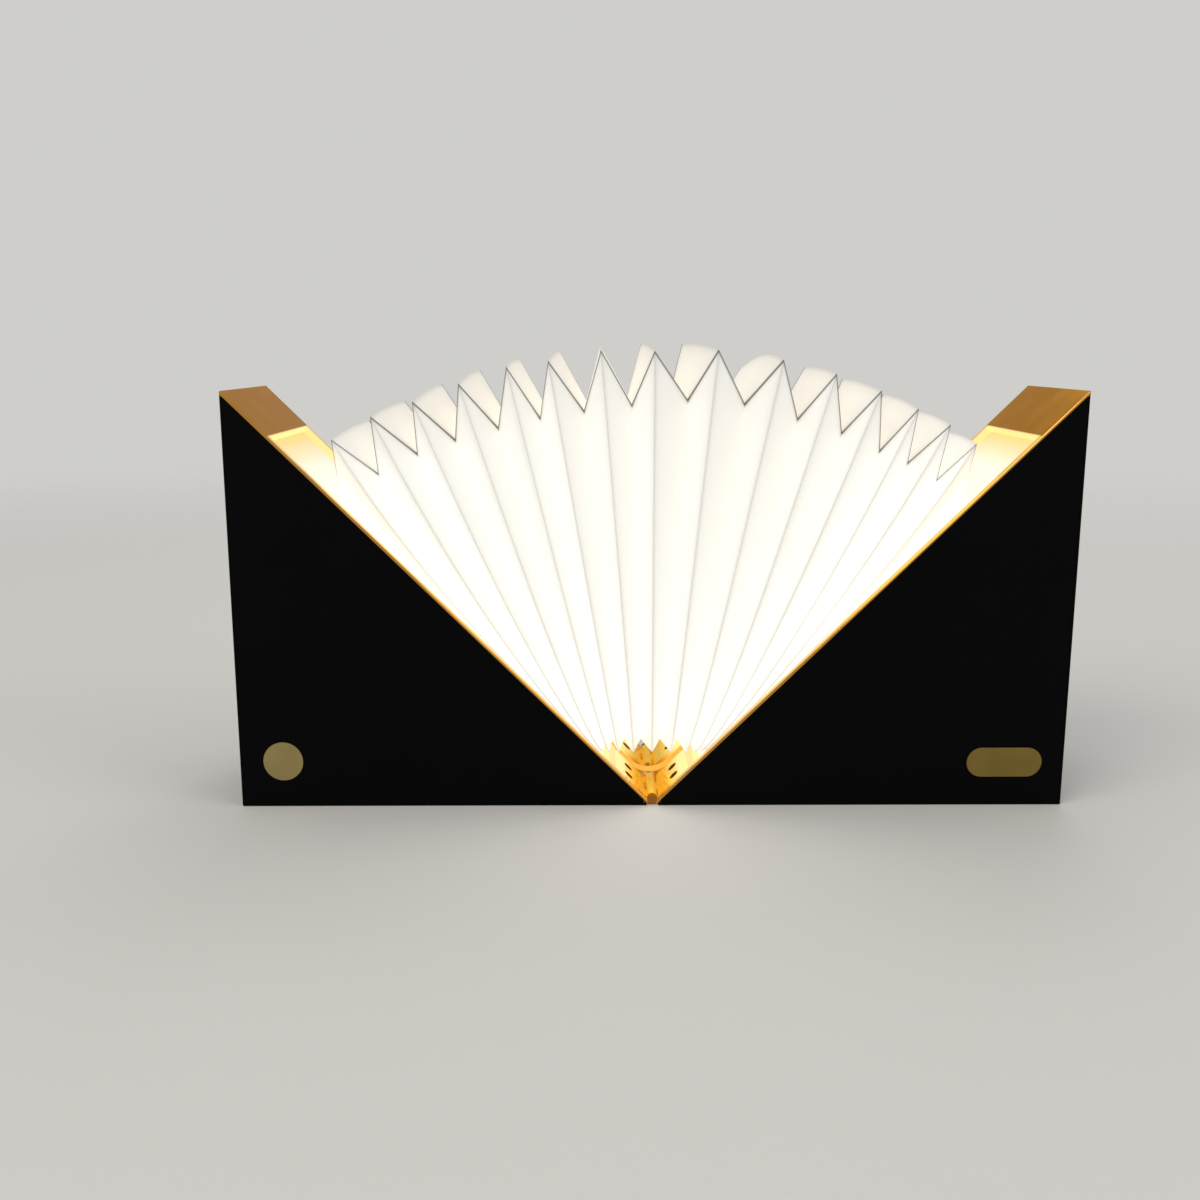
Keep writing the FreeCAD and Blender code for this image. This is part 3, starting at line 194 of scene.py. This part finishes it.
def fold_point(index, way):
    """A point on one fold, in mm. way goes 0 to 1 up the front, to 2 over the wall, to 3 down the back."""
    share = 2 * index / FOLDS - 1  # -1 at the left card, 1 at the right one
    half = OUTER_HALF if index % 2 else INNER_HALF
    if 1 < way < 2:
        across = way - 1
        front, back = fold_end(index, False), fold_end(index, True)
        turn = math.radians(front[0] * (1 - across) + back[0] * across)
        radius = front[1] * (1 - across) + back[1] * across + CROWN * (1 - (2 * across - 1) ** 2)
        if index == SOFT_PLEAT:
            radius += SOFT_CROWN * math.sin(math.pi * across)
        return Vector((radius * math.sin(turn), half * (2 * across - 1), HINGE + radius * math.cos(turn)))
    turn, radius = fold_end(index, way >= 2)
    turn = math.radians(turn)
    outer = Vector((radius * math.sin(turn), HINGE + radius * math.cos(turn)))
    # The lower ends crowd to both cards. Above them a fold bends into the line from the aim point to
    # its outer corner, at the height where that line leaves the card.
    widest = LOWER_EDGE - HINGE + PAPER_OFFSET * math.sqrt(2)
    crowded = 0.75 * math.tanh(3 * share) / math.tanh(3) + 0.25 * share
    lower = Vector((widest * crowded, LOWER_EDGE))
    slant = outer.x / (outer.y + AIM_DEPTH)
    meets = (-AIM_DEPTH * abs(slant) - HINGE + PAPER_OFFSET * math.sqrt(2)) / (abs(slant) - 1)
    bend_z = max(LOWER_EDGE, min(meets, outer.y))
    bend = Vector((slant * (bend_z + AIM_DEPTH), bend_z))
    rise = way if way <= 1 else 3 - way
    at = lower * (1 - rise) ** 2 + bend * 2 * rise * (1 - rise) + outer * rise * rise
    return Vector((at.x, half if way >= 2 else -half, at.y))


bpy.ops.object.select_all(action="DESELECT")
columns, rows = FOLDS * len(ACROSS), len(WAYS) - 1
bpy.ops.mesh.primitive_grid_add(x_subdivisions=columns, y_subdivisions=rows, size=1, calc_uvs=True)
shade = bpy.context.object
shade.name = "pleated_shade"
# Each point knows its way to the nearest outer fold and to the cut edge, both in mm, where shade is painted
# along them, and how strongly the diodes light it: most beside the cards and far from the hinge, less on
# the outer wall.
ridge, corner, glow = [], [], []
for vertex in shade.data.vertices:
    column = round((vertex.co.x + 0.5) * columns)
    way = WAYS[round((vertex.co.y + 0.5) * rows)]
    index, step = divmod(column, len(ACROSS))
    part = ACROSS[step]
    if index == FOLDS:
        index, part = FOLDS - 1, 1
    first, second = fold_point(index, way), fold_point(index + 1, way)
    point = first.lerp(second, part)
    over_wall = 1 < way < 2
    if not over_wall:
        rise = way if way <= 1 else 3 - way
        bow = BOW * math.cos(2.4 * index) * math.sin(math.pi * part) * math.sin(math.pi * rise)
        point.y += bow if way >= 2 else -bow
    vertex.co = point / 1000
    to_ridge = part if index % 2 else 1 - part
    ridge.append((second - first).length * to_ridge)
    from_left = abs(point.x + point.z - HINGE) / math.sqrt(2)
    from_right = abs(point.x - point.z + HINGE) / math.sqrt(2)
    edge_way = 1 if way < 1.5 else 2
    edge = fold_point(index, edge_way).lerp(fold_point(index + 1, edge_way), part)
    faded = 0.8 * math.exp(-min(from_left, from_right) / 8)  # the painted shade of the dark edge is fainter beside the slopes
    corner.append((point - edge).length + faded)
    near_boards = min(1.6, math.exp(-from_left / 34) + math.exp(-from_right / 34))
    outward = max(0, min(1, (math.hypot(point.x, point.z - HINGE) - 60) / 90))
    at_cards = outward * 0.18 * (math.exp(-from_left / 9) + math.exp(-from_right / 9))
    wall_share = 0.86 if over_wall else 1
    glow.append((0.6 + 0.02 * near_boards + at_cards) * wall_share * (1 - 0.06 * to_ridge))
for key, values in (("ridge_mm", ridge), ("corner_mm", corner), ("glow", glow)):
    shade.data.attributes.new(key, "FLOAT", "POINT").data.foreach_set("value", values)
bpy.ops.object.mode_set(mode="EDIT")
bpy.ops.mesh.select_all(action="SELECT")
bpy.ops.mesh.normals_make_consistent(inside=False)
bpy.ops.object.mode_set(mode="OBJECT")
thickness = shade.modifiers.new("paper_thickness", "SOLIDIFY")
thickness.thickness, thickness.offset = 0.0003, -1
bpy.ops.object.modifier_apply(modifier=thickness.name)
bpy.ops.object.shade_smooth_by_angle(angle=math.radians(24))

# Uncoated paper, matt and a little fibrous. Light from inside makes it warm white. Its fibres are 2 to
# 3 mm long but too thin to show, so they are drawn as specks of that size.
paper = bpy.data.materials.new("pleated_white_paper")
paper.use_nodes = True
tree = paper.node_tree
bsdf = tree.nodes["Principled BSDF"]
place = add_node(tree, "ShaderNodeTexCoord")
fibres = add_node(tree, "ShaderNodeTexNoise", links=[("Vector", place, "Object")],
                  values=[("Scale", 420), ("Detail", 3), ("Roughness", 0.6)])
clouds = add_node(tree, "ShaderNodeTexNoise", links=[("Vector", place, "Object")],
                  values=[("Scale", 60), ("Detail", 2)])
read = {key: add_node(tree, "ShaderNodeAttribute", attribute_name=key)
        for key in ("ridge_mm", "corner_mm", "glow")}
lines = []  # painted shade: soft grey along the outer folds and a thin dark line along the cut edge, on colour and glow
for key, reach, dark in (("ridge_mm", 1.7, 0.17), ("ridge_mm", 5, 0.07), ("corner_mm", 1.4, 0.85),
                         ("corner_mm", 3.5, 0.09)):
    fall = add_node(tree, "ShaderNodeMapRange", interpolation_type="SMOOTHSTEP",
                    links=[("Value", read[key], "Fac")],
                    values=[("From Min", 0), ("From Max", reach), ("To Min", 1 - dark), ("To Max", 1)])
    lines.append(fall)
painted_fold_shade = lines[0]
for fall in lines[1:]:
    painted_fold_shade = add_node(tree, "ShaderNodeMath", operation="MULTIPLY", links=[(0, painted_fold_shade, 0), (1, fall, 0)])
tone = add_node(tree, "ShaderNodeMix", data_type="RGBA",
                links=[("Factor", clouds, "Fac")],
                values=[("A", linear("#E6E5E0")), ("B", linear("#ECEBE7"))])
# Painted shade: where the diodes light the paper less, as on the outer wall, its colour turns a darker beige.
dim = add_node(tree, "ShaderNodeMapRange", links=[("Value", read["glow"], "Fac")],
               values=[("From Min", 0.5), ("From Max", 0.6), ("To Min", 1), ("To Max", 0)])
tone = add_node(tree, "ShaderNodeMix", data_type="RGBA",
                links=[("Factor", dim, 0), ("A", tone, "Result")], values=[("B", linear("#ECE7DD"))])
tone = add_node(tree, "ShaderNodeMix", data_type="RGBA", blend_type="MULTIPLY",
                links=[("A", tone, "Result"), ("B", painted_fold_shade, 0)], values=[("Factor", 1)])
tree.links.new(tone.outputs["Result"], bsdf.inputs["Base Color"])
shine = add_node(tree, "ShaderNodeMath", operation="MULTIPLY", links=[(0, painted_fold_shade, 0), (1, read["glow"], "Fac")])
shine = add_node(tree, "ShaderNodeMath", operation="MULTIPLY", links=[(0, shine, 0)], values=[(1, 0.55)])
tree.links.new(shine.outputs[0], bsdf.inputs["Emission Strength"])
bsdf.inputs["Emission Color"].default_value = linear("#FFFDF8")
bsdf.inputs["Roughness"].default_value = 0.8
grain = add_node(tree, "ShaderNodeBump", links=[("Height", fibres, "Fac")],
                 values=[("Strength", 0.25), ("Distance", 0.0001)])
tree.links.new(grain.outputs[0], bsdf.inputs["Normal"])
shade.data.materials.append(paper)
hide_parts("paper_shade")
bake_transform(shade, "left_half", "right_half", start=(-0.1, 0, 0.1), end=(0.1, 0, 0.1))


def follow_hinge(piece, offset):
    """Each point turns with the hinge by its own share of the angle between the two slopes."""
    for vertex, share in zip(piece.data.vertices, piece.data.attributes["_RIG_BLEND"].data):
        reach = math.hypot(vertex.co.x, vertex.co.z - HINGE / 1000)
        limit = math.pi / 4 + math.asin(min(1, offset / 1000 / max(reach, 1e-6)))
        turn = math.atan2(vertex.co.x, vertex.co.z - HINGE / 1000)
        share.value = min(1, max(0, (turn + limit) / (2 * limit)))


follow_hinge(shade, PAPER_OFFSET)

# ---- flat jumper between the two light boards ----
# An amber film strip with two copper tracks, which feeds the right half's diodes. It is cut flat,
# soldered on both boards, and bends over the hinge pin.
JUMPER_OFFSET = 1.875    # hinge axis to the strip on a slope, square to it
JUMPER_BEND = 9          # bend radius over the pin
JUMPER_END = 36          # hinge axis to its soldered end, along the slope
JUMPER_WIDTH = 5
bpy.ops.object.select_all(action="DESELECT")
bpy.ops.mesh.primitive_grid_add(x_subdivisions=64, y_subdivisions=2, size=1, calc_uvs=True)
jumper = bpy.context.object
jumper.name = "bent_jumper"
bend_z = HINGE + (JUMPER_BEND - JUMPER_OFFSET) * math.sqrt(2)
straight = JUMPER_END - (JUMPER_BEND - JUMPER_OFFSET)
total = 2 * straight + JUMPER_BEND * math.pi / 2
for vertex in jumper.data.vertices:
    run = vertex.co.x * total
    past_bend = abs(run) - JUMPER_BEND * math.pi / 4
    if past_bend <= 0:
        x, z = JUMPER_BEND * math.sin(run / JUMPER_BEND), bend_z - JUMPER_BEND * math.cos(run / JUMPER_BEND)
    else:
        along = JUMPER_BEND - JUMPER_OFFSET + past_bend
        x = math.copysign((along + JUMPER_OFFSET) / math.sqrt(2), run)
        z = HINGE + (along - JUMPER_OFFSET) / math.sqrt(2)
    vertex.co = Vector((x, vertex.co.y * JUMPER_WIDTH, z)) / 1000
thickness = jumper.modifiers.new("film_thickness", "SOLIDIFY")
thickness.thickness, thickness.offset = 0.00022, 0
bpy.ops.object.modifier_apply(modifier=thickness.name)
bpy.ops.object.shade_smooth_by_angle(angle=math.radians(30))
# Clear amber film with a low gloss. The tracks, each 1.4 mm wide, show through as two slightly darker
# stripes.
film = bpy.data.materials.new("polyimide_film")
film.use_nodes = True
tree = film.node_tree
bsdf = tree.nodes["Principled BSDF"]
place = add_node(tree, "ShaderNodeTexCoord")
split = add_node(tree, "ShaderNodeSeparateXYZ", links=[("Vector", place, "UV")])
track = add_node(tree, "ShaderNodeMath", operation="PINGPONG", links=[(0, split, "Y")], values=[(1, 0.5)])
edge = add_node(tree, "ShaderNodeMapRange", links=[("Value", track, 0)],
                values=[("From Min", 0.12), ("From Max", 0.15)])
inner = add_node(tree, "ShaderNodeMapRange", links=[("Value", track, 0)],
                 values=[("From Min", 0.4), ("From Max", 0.43), ("To Min", 1), ("To Max", 0)])
both = add_node(tree, "ShaderNodeMath", operation="MULTIPLY", links=[(0, edge, 0), (1, inner, 0)])
tone = add_node(tree, "ShaderNodeMix", data_type="RGBA", links=[("Factor", both, 0)],
                values=[("A", linear("#DE9F34")), ("B", linear("#C98A2A"))])
tree.links.new(tone.outputs["Result"], bsdf.inputs["Base Color"])
bsdf.inputs["Roughness"].default_value = 0.5
bsdf.inputs["Specular IOR Level"].default_value = 0.15
# A painted orange glow stands in for the diodes' light falling on the film; the film itself gives no light.
bsdf.inputs["Emission Color"].default_value = linear("#FFC040")
bsdf.inputs["Emission Strength"].default_value = 0.4
jumper.data.materials.append(film)
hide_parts("led_jumper_flex")
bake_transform(jumper, "left_half", "right_half", start=(-0.02, 0, 0.02), end=(0.02, 0, 0.02))
follow_hinge(jumper, JUMPER_OFFSET)

# ---- case frames ----
# One frame per half, machined from aluminium: floor, side wall and slope in one piece, open at the
# front and the back. The slopes are anodised gold and brushed lengthwise; the outside is lacquered
# black.


def dress(material, *names):
    """Gives CAD nodes this material, all over."""
    for name in names:
        nodes[name].data.materials.clear()
        nodes[name].data.materials.append(material)


def brushed_metal(name, hex_dark, hex_light, hex_edge, roughness, stretch, strength):
    """A slightly uneven metal with fine parallel scratches, finest across the largest number in stretch."""
    # stretch is in scratches per metre. Real ones are under 0.1 mm wide and wouldn't show, so the widest
    # of these are 0.6 to 3.3 mm wide. The haze has the size of a fingertip, 11 mm.
    metal = bpy.data.materials.new(name)
    metal.use_nodes = True
    tree = metal.node_tree
    bsdf = tree.nodes["Principled BSDF"]
    bsdf.inputs["Metallic"].default_value = 1
    bsdf.inputs["Specular Tint"].default_value = linear(hex_edge)
    place = add_node(tree, "ShaderNodeTexCoord")
    grain = add_node(tree, "ShaderNodeMapping", links=[("Vector", place, "Object")],
                     values=[("Scale", stretch)])
    scratch = add_node(tree, "ShaderNodeTexNoise", links=[("Vector", grain, 0)],
                       values=[("Scale", 1), ("Detail", 4)])
    haze = add_node(tree, "ShaderNodeTexNoise", links=[("Vector", place, "Object")],
                    values=[("Scale", 90), ("Detail", 2)])
    tone = add_node(tree, "ShaderNodeMix", data_type="RGBA", links=[("Factor", haze, "Fac")],
                    values=[("A", linear(hex_dark)), ("B", linear(hex_light))])
    tree.links.new(tone.outputs["Result"], bsdf.inputs["Base Color"])
    rough = add_node(tree, "ShaderNodeMapRange", links=[("Value", haze, "Fac")],
                     values=[("To Min", roughness * 0.75), ("To Max", roughness * 1.3)])
    tree.links.new(rough.outputs[0], bsdf.inputs["Roughness"])
    bump = add_node(tree, "ShaderNodeBump", links=[("Height", scratch, "Fac")],
                    values=[("Strength", strength), ("Distance", 0.00005)])
    tree.links.new(bump.outputs[0], bsdf.inputs["Normal"])
    return metal


def slope_way(tree):
    """Nodes that give the place with the two halves laid on each other, and the way up the slope, in m."""
    place = add_node(tree, "ShaderNodeTexCoord")
    folded = add_node(tree, "ShaderNodeVectorMath", operation="ABSOLUTE", links=[(0, place, "Object")])
    along = add_node(tree, "ShaderNodeVectorMath", operation="DOT_PRODUCT", links=[(0, folded, 0)],
                     values=[(1, (math.sqrt(0.5), 0, math.sqrt(0.5)))])
    return folded, along


# The slopes are a glossy warm gold, the outside a soft black, and the recess has a painted glow for the
# diodes' light. Each row is a place where the look changes: what it is measured on, from where to where in
# m, and the values before and after.
gold = brushed_metal("gold_anodised_aluminium", "#B98338", "#D39C48", "#E8CCB0", 0.1, (900, 90, 900), 0.1)
tree = gold.node_tree
bsdf = tree.nodes["Principled BSDF"]
bsdf.inputs["Specular IOR Level"].default_value = 0.06
folded, along = slope_way(tree)
under = add_node(tree, "ShaderNodeVectorMath", operation="DOT_PRODUCT", links=[(0, folded, 0)],
                 values=[(1, (math.sqrt(0.5), 0, -math.sqrt(0.5)))])
axes = add_node(tree, "ShaderNodeSeparateXYZ", links=[(0, folded, 0)])
change = {}
for name, source, output, start, end, before, after in (
        ("side wall", axes, "X", 0.1288, 0.129, 0, 1),
        ("front and back", axes, "Y", 0.0271, 0.0273, 0, 1),
        ("underside", axes, "Z", 0.0002, 0.0005, 1, 0),
        ("below the gold edge", under, "Value", 0.0005, 0.0007, 0, 1),
        ("recess to lip", axes, "Y", 0.0251, 0.0253, 1, 0.55),
        ("outer edge of the lip", axes, "Y", 0.027, 0.0272, 1, 0),
        ("far end of the recess", along, "Value", 0.1637, 0.1642, 1, 0),
        ("bottom of the recess", under, "Value", 0.0027, 0.0028, 1, 0),
        ("away from the hinge", along, "Value", 0.005, 0.0115, 0.25, 0.8),
        ("painted glow, orange to pale gold", along, "Value", 0.007, 0.013, 0, 1)):
    change[name] = add_node(tree, "ShaderNodeMapRange", links=[("Value", source, output)],
                            values=[("From Min", start), ("From Max", end),
                                    ("To Min", before), ("To Max", after)])
outside = change["side wall"]
for name in ("front and back", "underside"):
    outside = add_node(tree, "ShaderNodeMath", operation="MAXIMUM",
                       links=[(0, outside, 0), (1, change[name], 0)])
lacquer = add_node(tree, "ShaderNodeMath", operation="MULTIPLY",
                   links=[(0, outside, 0), (1, change["below the gold edge"], 0)])
metal = bsdf.inputs["Base Color"].links[0].from_node
tone = add_node(tree, "ShaderNodeMix", data_type="RGBA",
                links=[("Factor", lacquer, 0), ("A", metal, "Result")], values=[("B", linear("#060607"))])
tree.links.new(tone.outputs["Result"], bsdf.inputs["Base Color"])
shine = add_node(tree, "ShaderNodeMath", operation="SUBTRACT", links=[(1, lacquer, 0)], values=[(0, 1)])
tree.links.new(shine.outputs[0], bsdf.inputs["Metallic"])
polish = bsdf.inputs["Roughness"].links[0].from_node
rough = add_node(tree, "ShaderNodeMix", data_type="FLOAT",
                 links=[("Factor", lacquer, 0), ("A", polish, 0)], values=[("B", 0.55)])
tree.links.new(rough.outputs["Result"], bsdf.inputs["Roughness"])
# The diodes' light on the recess and its lips is painted as a glow, weaker on the metal round the hinge.
lit = change["recess to lip"]
for name in ("outer edge of the lip", "far end of the recess", "bottom of the recess",
             "away from the hinge"):
    lit = add_node(tree, "ShaderNodeMath", operation="MULTIPLY", links=[(0, lit, 0), (1, change[name], 0)])
tree.links.new(lit.outputs[0], bsdf.inputs["Emission Strength"])
tint = add_node(tree, "ShaderNodeMix", data_type="RGBA", links=[("Factor", change["painted glow, orange to pale gold"], 0)],
                values=[("A", linear("#FFC645")), ("B", linear("#FFEBA8"))])
tree.links.new(tint.outputs["Result"], bsdf.inputs["Emission Color"])
dress(gold, "left_frame", "right_frame")

# ---- button and badge ----
# Turned and stamped brass, the button a pale satin gold and the badge a deeper one. The badge is
# bare, and both are brushed, which spreads their sheen.
dress(brushed_metal("satin_champagne_gold", "#978657", "#B09F6C", "#FFF0C8", 0.38, (1600, 200, 200), 0.3),
      "button_cap")
dress(brushed_metal("satin_old_gold", "#806C36", "#978248", "#FFEAB4", 0.34, (200, 200, 1600), 0.3),
      "badge_plate")

# ---- hinge leaves, pin and their screws ----
# Two short leaves of stamped brass on each half, with their knuckles round one bronze pin. Each is
# held by two countersunk screws of darkened brass. The pin is a brown satin, the screws are duller.
brass = brushed_metal("stamped_brass", "#E0B448", "#EEC65C", "#FFECC0", 0.14, (700, 120, 700), 0.06)
tree = brass.node_tree  # a clear yellow gloss; the diodes above light it, most on the ends of the leaves
bsdf = tree.nodes["Principled BSDF"]
along = slope_way(tree)[1]
# Painted light: the glow stands in for the diodes' light on the brass, paler on the ends of the leaves.
lit = add_node(tree, "ShaderNodeMapRange", links=[("Value", along, "Value")],
               values=[("From Min", 0.006), ("From Max", 0.013), ("To Min", 0.2), ("To Max", 0.75)])
tree.links.new(lit.outputs[0], bsdf.inputs["Emission Strength"])
paler_glow = add_node(tree, "ShaderNodeMapRange", links=[("Value", along, "Value")],
                 values=[("From Min", 0.007), ("From Max", 0.013)])
tint = add_node(tree, "ShaderNodeMix", data_type="RGBA", links=[("Factor", paler_glow, 0)],
                values=[("A", linear("#FFCC48")), ("B", linear("#FFEBB0"))])
tree.links.new(tint.outputs["Result"], bsdf.inputs["Emission Color"])
dress(brass, "left_hinge_leaves", "right_hinge_leaves")
dress(brushed_metal("bronze_pin", "#966425", "#AB7530", "#E4C49A", 0.25, (300, 60, 300), 0.1), "hinge_pin")
dress(brushed_metal("darkened_brass_screws", "#54390F", "#684B20", "#C9A468", 0.3, (500, 500, 500), 0.2),
      "left_hinge_screws", "right_hinge_screws")

# ---- steel screws, magnets and the charging port's shell ----
# Blackened steel screws, dark with a soft shine, hold the back panels, and nickel-plated magnets hold
# the case shut. The magnets, the board's screws and the port's shell have a bright grey gloss.
dress(brushed_metal("blackened_steel_screws", "#343436", "#414144", "#FFFFFF", 0.35, (500, 500, 500), 0.2),
      "left_back_screws", "right_back_screws")
dress(brushed_metal("plated_steel", "#B2B3B6", "#C0C1C4", "#FFFFFF", 0.3, (600, 600, 600), 0.2),
      "board_screws", "left_magnets", "right_magnets", "charging_port")

# ---- front and back panels ----
# Thin sheets, let into the frames' rims. Their black lacquer is matt and hardly reflects the room.
# The back ones are screwed on, and the left front one carries the control board on three posts.


def grained(name, hex_dark, hex_light, roughness, scale, strength, specular=0.5):
    """A coating or plastic with a slight change of colour and a fine grain."""
    # scale is in grains per metre. A real grain is under 0.1 mm and wouldn't show, so the coarsest of
    # these are 0.7 to 2.5 mm. The colour changes over 29 mm.
    coat = bpy.data.materials.new(name)
    coat.use_nodes = True
    tree = coat.node_tree
    bsdf = tree.nodes["Principled BSDF"]
    place = add_node(tree, "ShaderNodeTexCoord")
    speck = add_node(tree, "ShaderNodeTexNoise", links=[("Vector", place, "Object")],
                     values=[("Scale", scale), ("Detail", 3)])
    cloud = add_node(tree, "ShaderNodeTexNoise", links=[("Vector", place, "Object")],
                     values=[("Scale", 35), ("Detail", 2)])
    tone = add_node(tree, "ShaderNodeMix", data_type="RGBA", links=[("Factor", cloud, "Fac")],
                    values=[("A", linear(hex_dark)), ("B", linear(hex_light))])
    tree.links.new(tone.outputs["Result"], bsdf.inputs["Base Color"])
    bsdf.inputs["Roughness"].default_value = roughness
    bsdf.inputs["Specular IOR Level"].default_value = specular
    bump = add_node(tree, "ShaderNodeBump", links=[("Height", speck, "Fac")],
                    values=[("Strength", strength), ("Distance", 0.0001)])
    tree.links.new(bump.outputs[0], bsdf.inputs["Normal"])
    return coat


dress(grained("matt_black_lacquer", "#040405", "#070708", 0.5, 1500, 0.12, 0.04),
      "left_front_panel", "right_front_panel", "left_back_panel", "right_back_panel")

# ---- end cards and light boards ----
# White card glued in each slope's recess, with a narrow white board of warm diodes along it.
# The card is matt and warm white, with a painted glow for the diodes' light. Its colour and glow are
# painted yellower at its outer end, where fewer diodes reach it. The board's solder mask is a more
# neutral white with a soft sheen.
card = grained("lit_white_card", "#EEE9DE", "#F0EBE0", 0.85, 900, 0.2)
tree = card.node_tree
bsdf = tree.nodes["Principled BSDF"]
# Painted light: colour and glow turn yellower towards the card's outer end.
outer = add_node(tree, "ShaderNodeMapRange", links=[("Value", slope_way(tree)[1], "Value")],
                 values=[("From Min", 0.15), ("From Max", 0.1645)])
white = bsdf.inputs["Base Color"].links[0].from_node
tone = add_node(tree, "ShaderNodeMix", data_type="RGBA",
                links=[("Factor", outer, 0), ("A", white, "Result")], values=[("B", linear("#E8CB74"))])
tree.links.new(tone.outputs["Result"], bsdf.inputs["Base Color"])
tint = add_node(tree, "ShaderNodeMix", data_type="RGBA", links=[("Factor", outer, 0)],
                values=[("A", linear("#FFF6E2")), ("B", linear("#FFDA70"))])
tree.links.new(tint.outputs["Result"], bsdf.inputs["Emission Color"])
bsdf.inputs["Emission Strength"].default_value = 0.4
dress(card, "left_end_card", "right_end_card")
dress(grained("white_solder_mask", "#E2E1DA", "#E8E7E1", 0.45, 700, 0.1),
      "left_light_board", "right_light_board")
resin = grained("lit_diode_resin", "#E9C765", "#EBCB70", 0.3, 500, 0.1)  # yellow, and bright when lit
bsdf = resin.node_tree.nodes["Principled BSDF"]
bsdf.inputs["Emission Color"].default_value = linear("#FFE2A6")
bsdf.inputs["Emission Strength"].default_value = 8
dress(resin, "left_light_chips", "right_light_chips")

# ---- what the left half holds ----
# A green control board with its chips, connectors and the push switch behind the button, and one cell
# in a cradle. Two leads run from the cell to the board and two on to the light board. The cell's film
# is the glossiest, the board has a slight gloss, and the moulded parts are duller.
dress(grained("green_circuit_board", "#1F5A34", "#276A3E", 0.4, 800, 0.1), "control_board")
dress(grained("black_chip_resin", "#141415", "#1A1A1B", 0.5, 900, 0.2), "board_chips")
dress(grained("moulded_white_nylon", "#D9D6CC", "#E0DDD3", 0.5, 600, 0.1),
      "connectors", "push_switch", "button_plunger")
dress(grained("cell_sleeve_film", "#2B5C8A", "#2F6392", 0.3, 400, 0.05), "battery_cell")
dress(grained("moulded_black_nylon", "#1B1B1C", "#212122", 0.55, 700, 0.15), "battery_cradle")
dress(grained("red_lead_insulation", "#A82A22", "#B33028", 0.45, 500, 0.05),
      "battery_leads", "led_feed_leads")
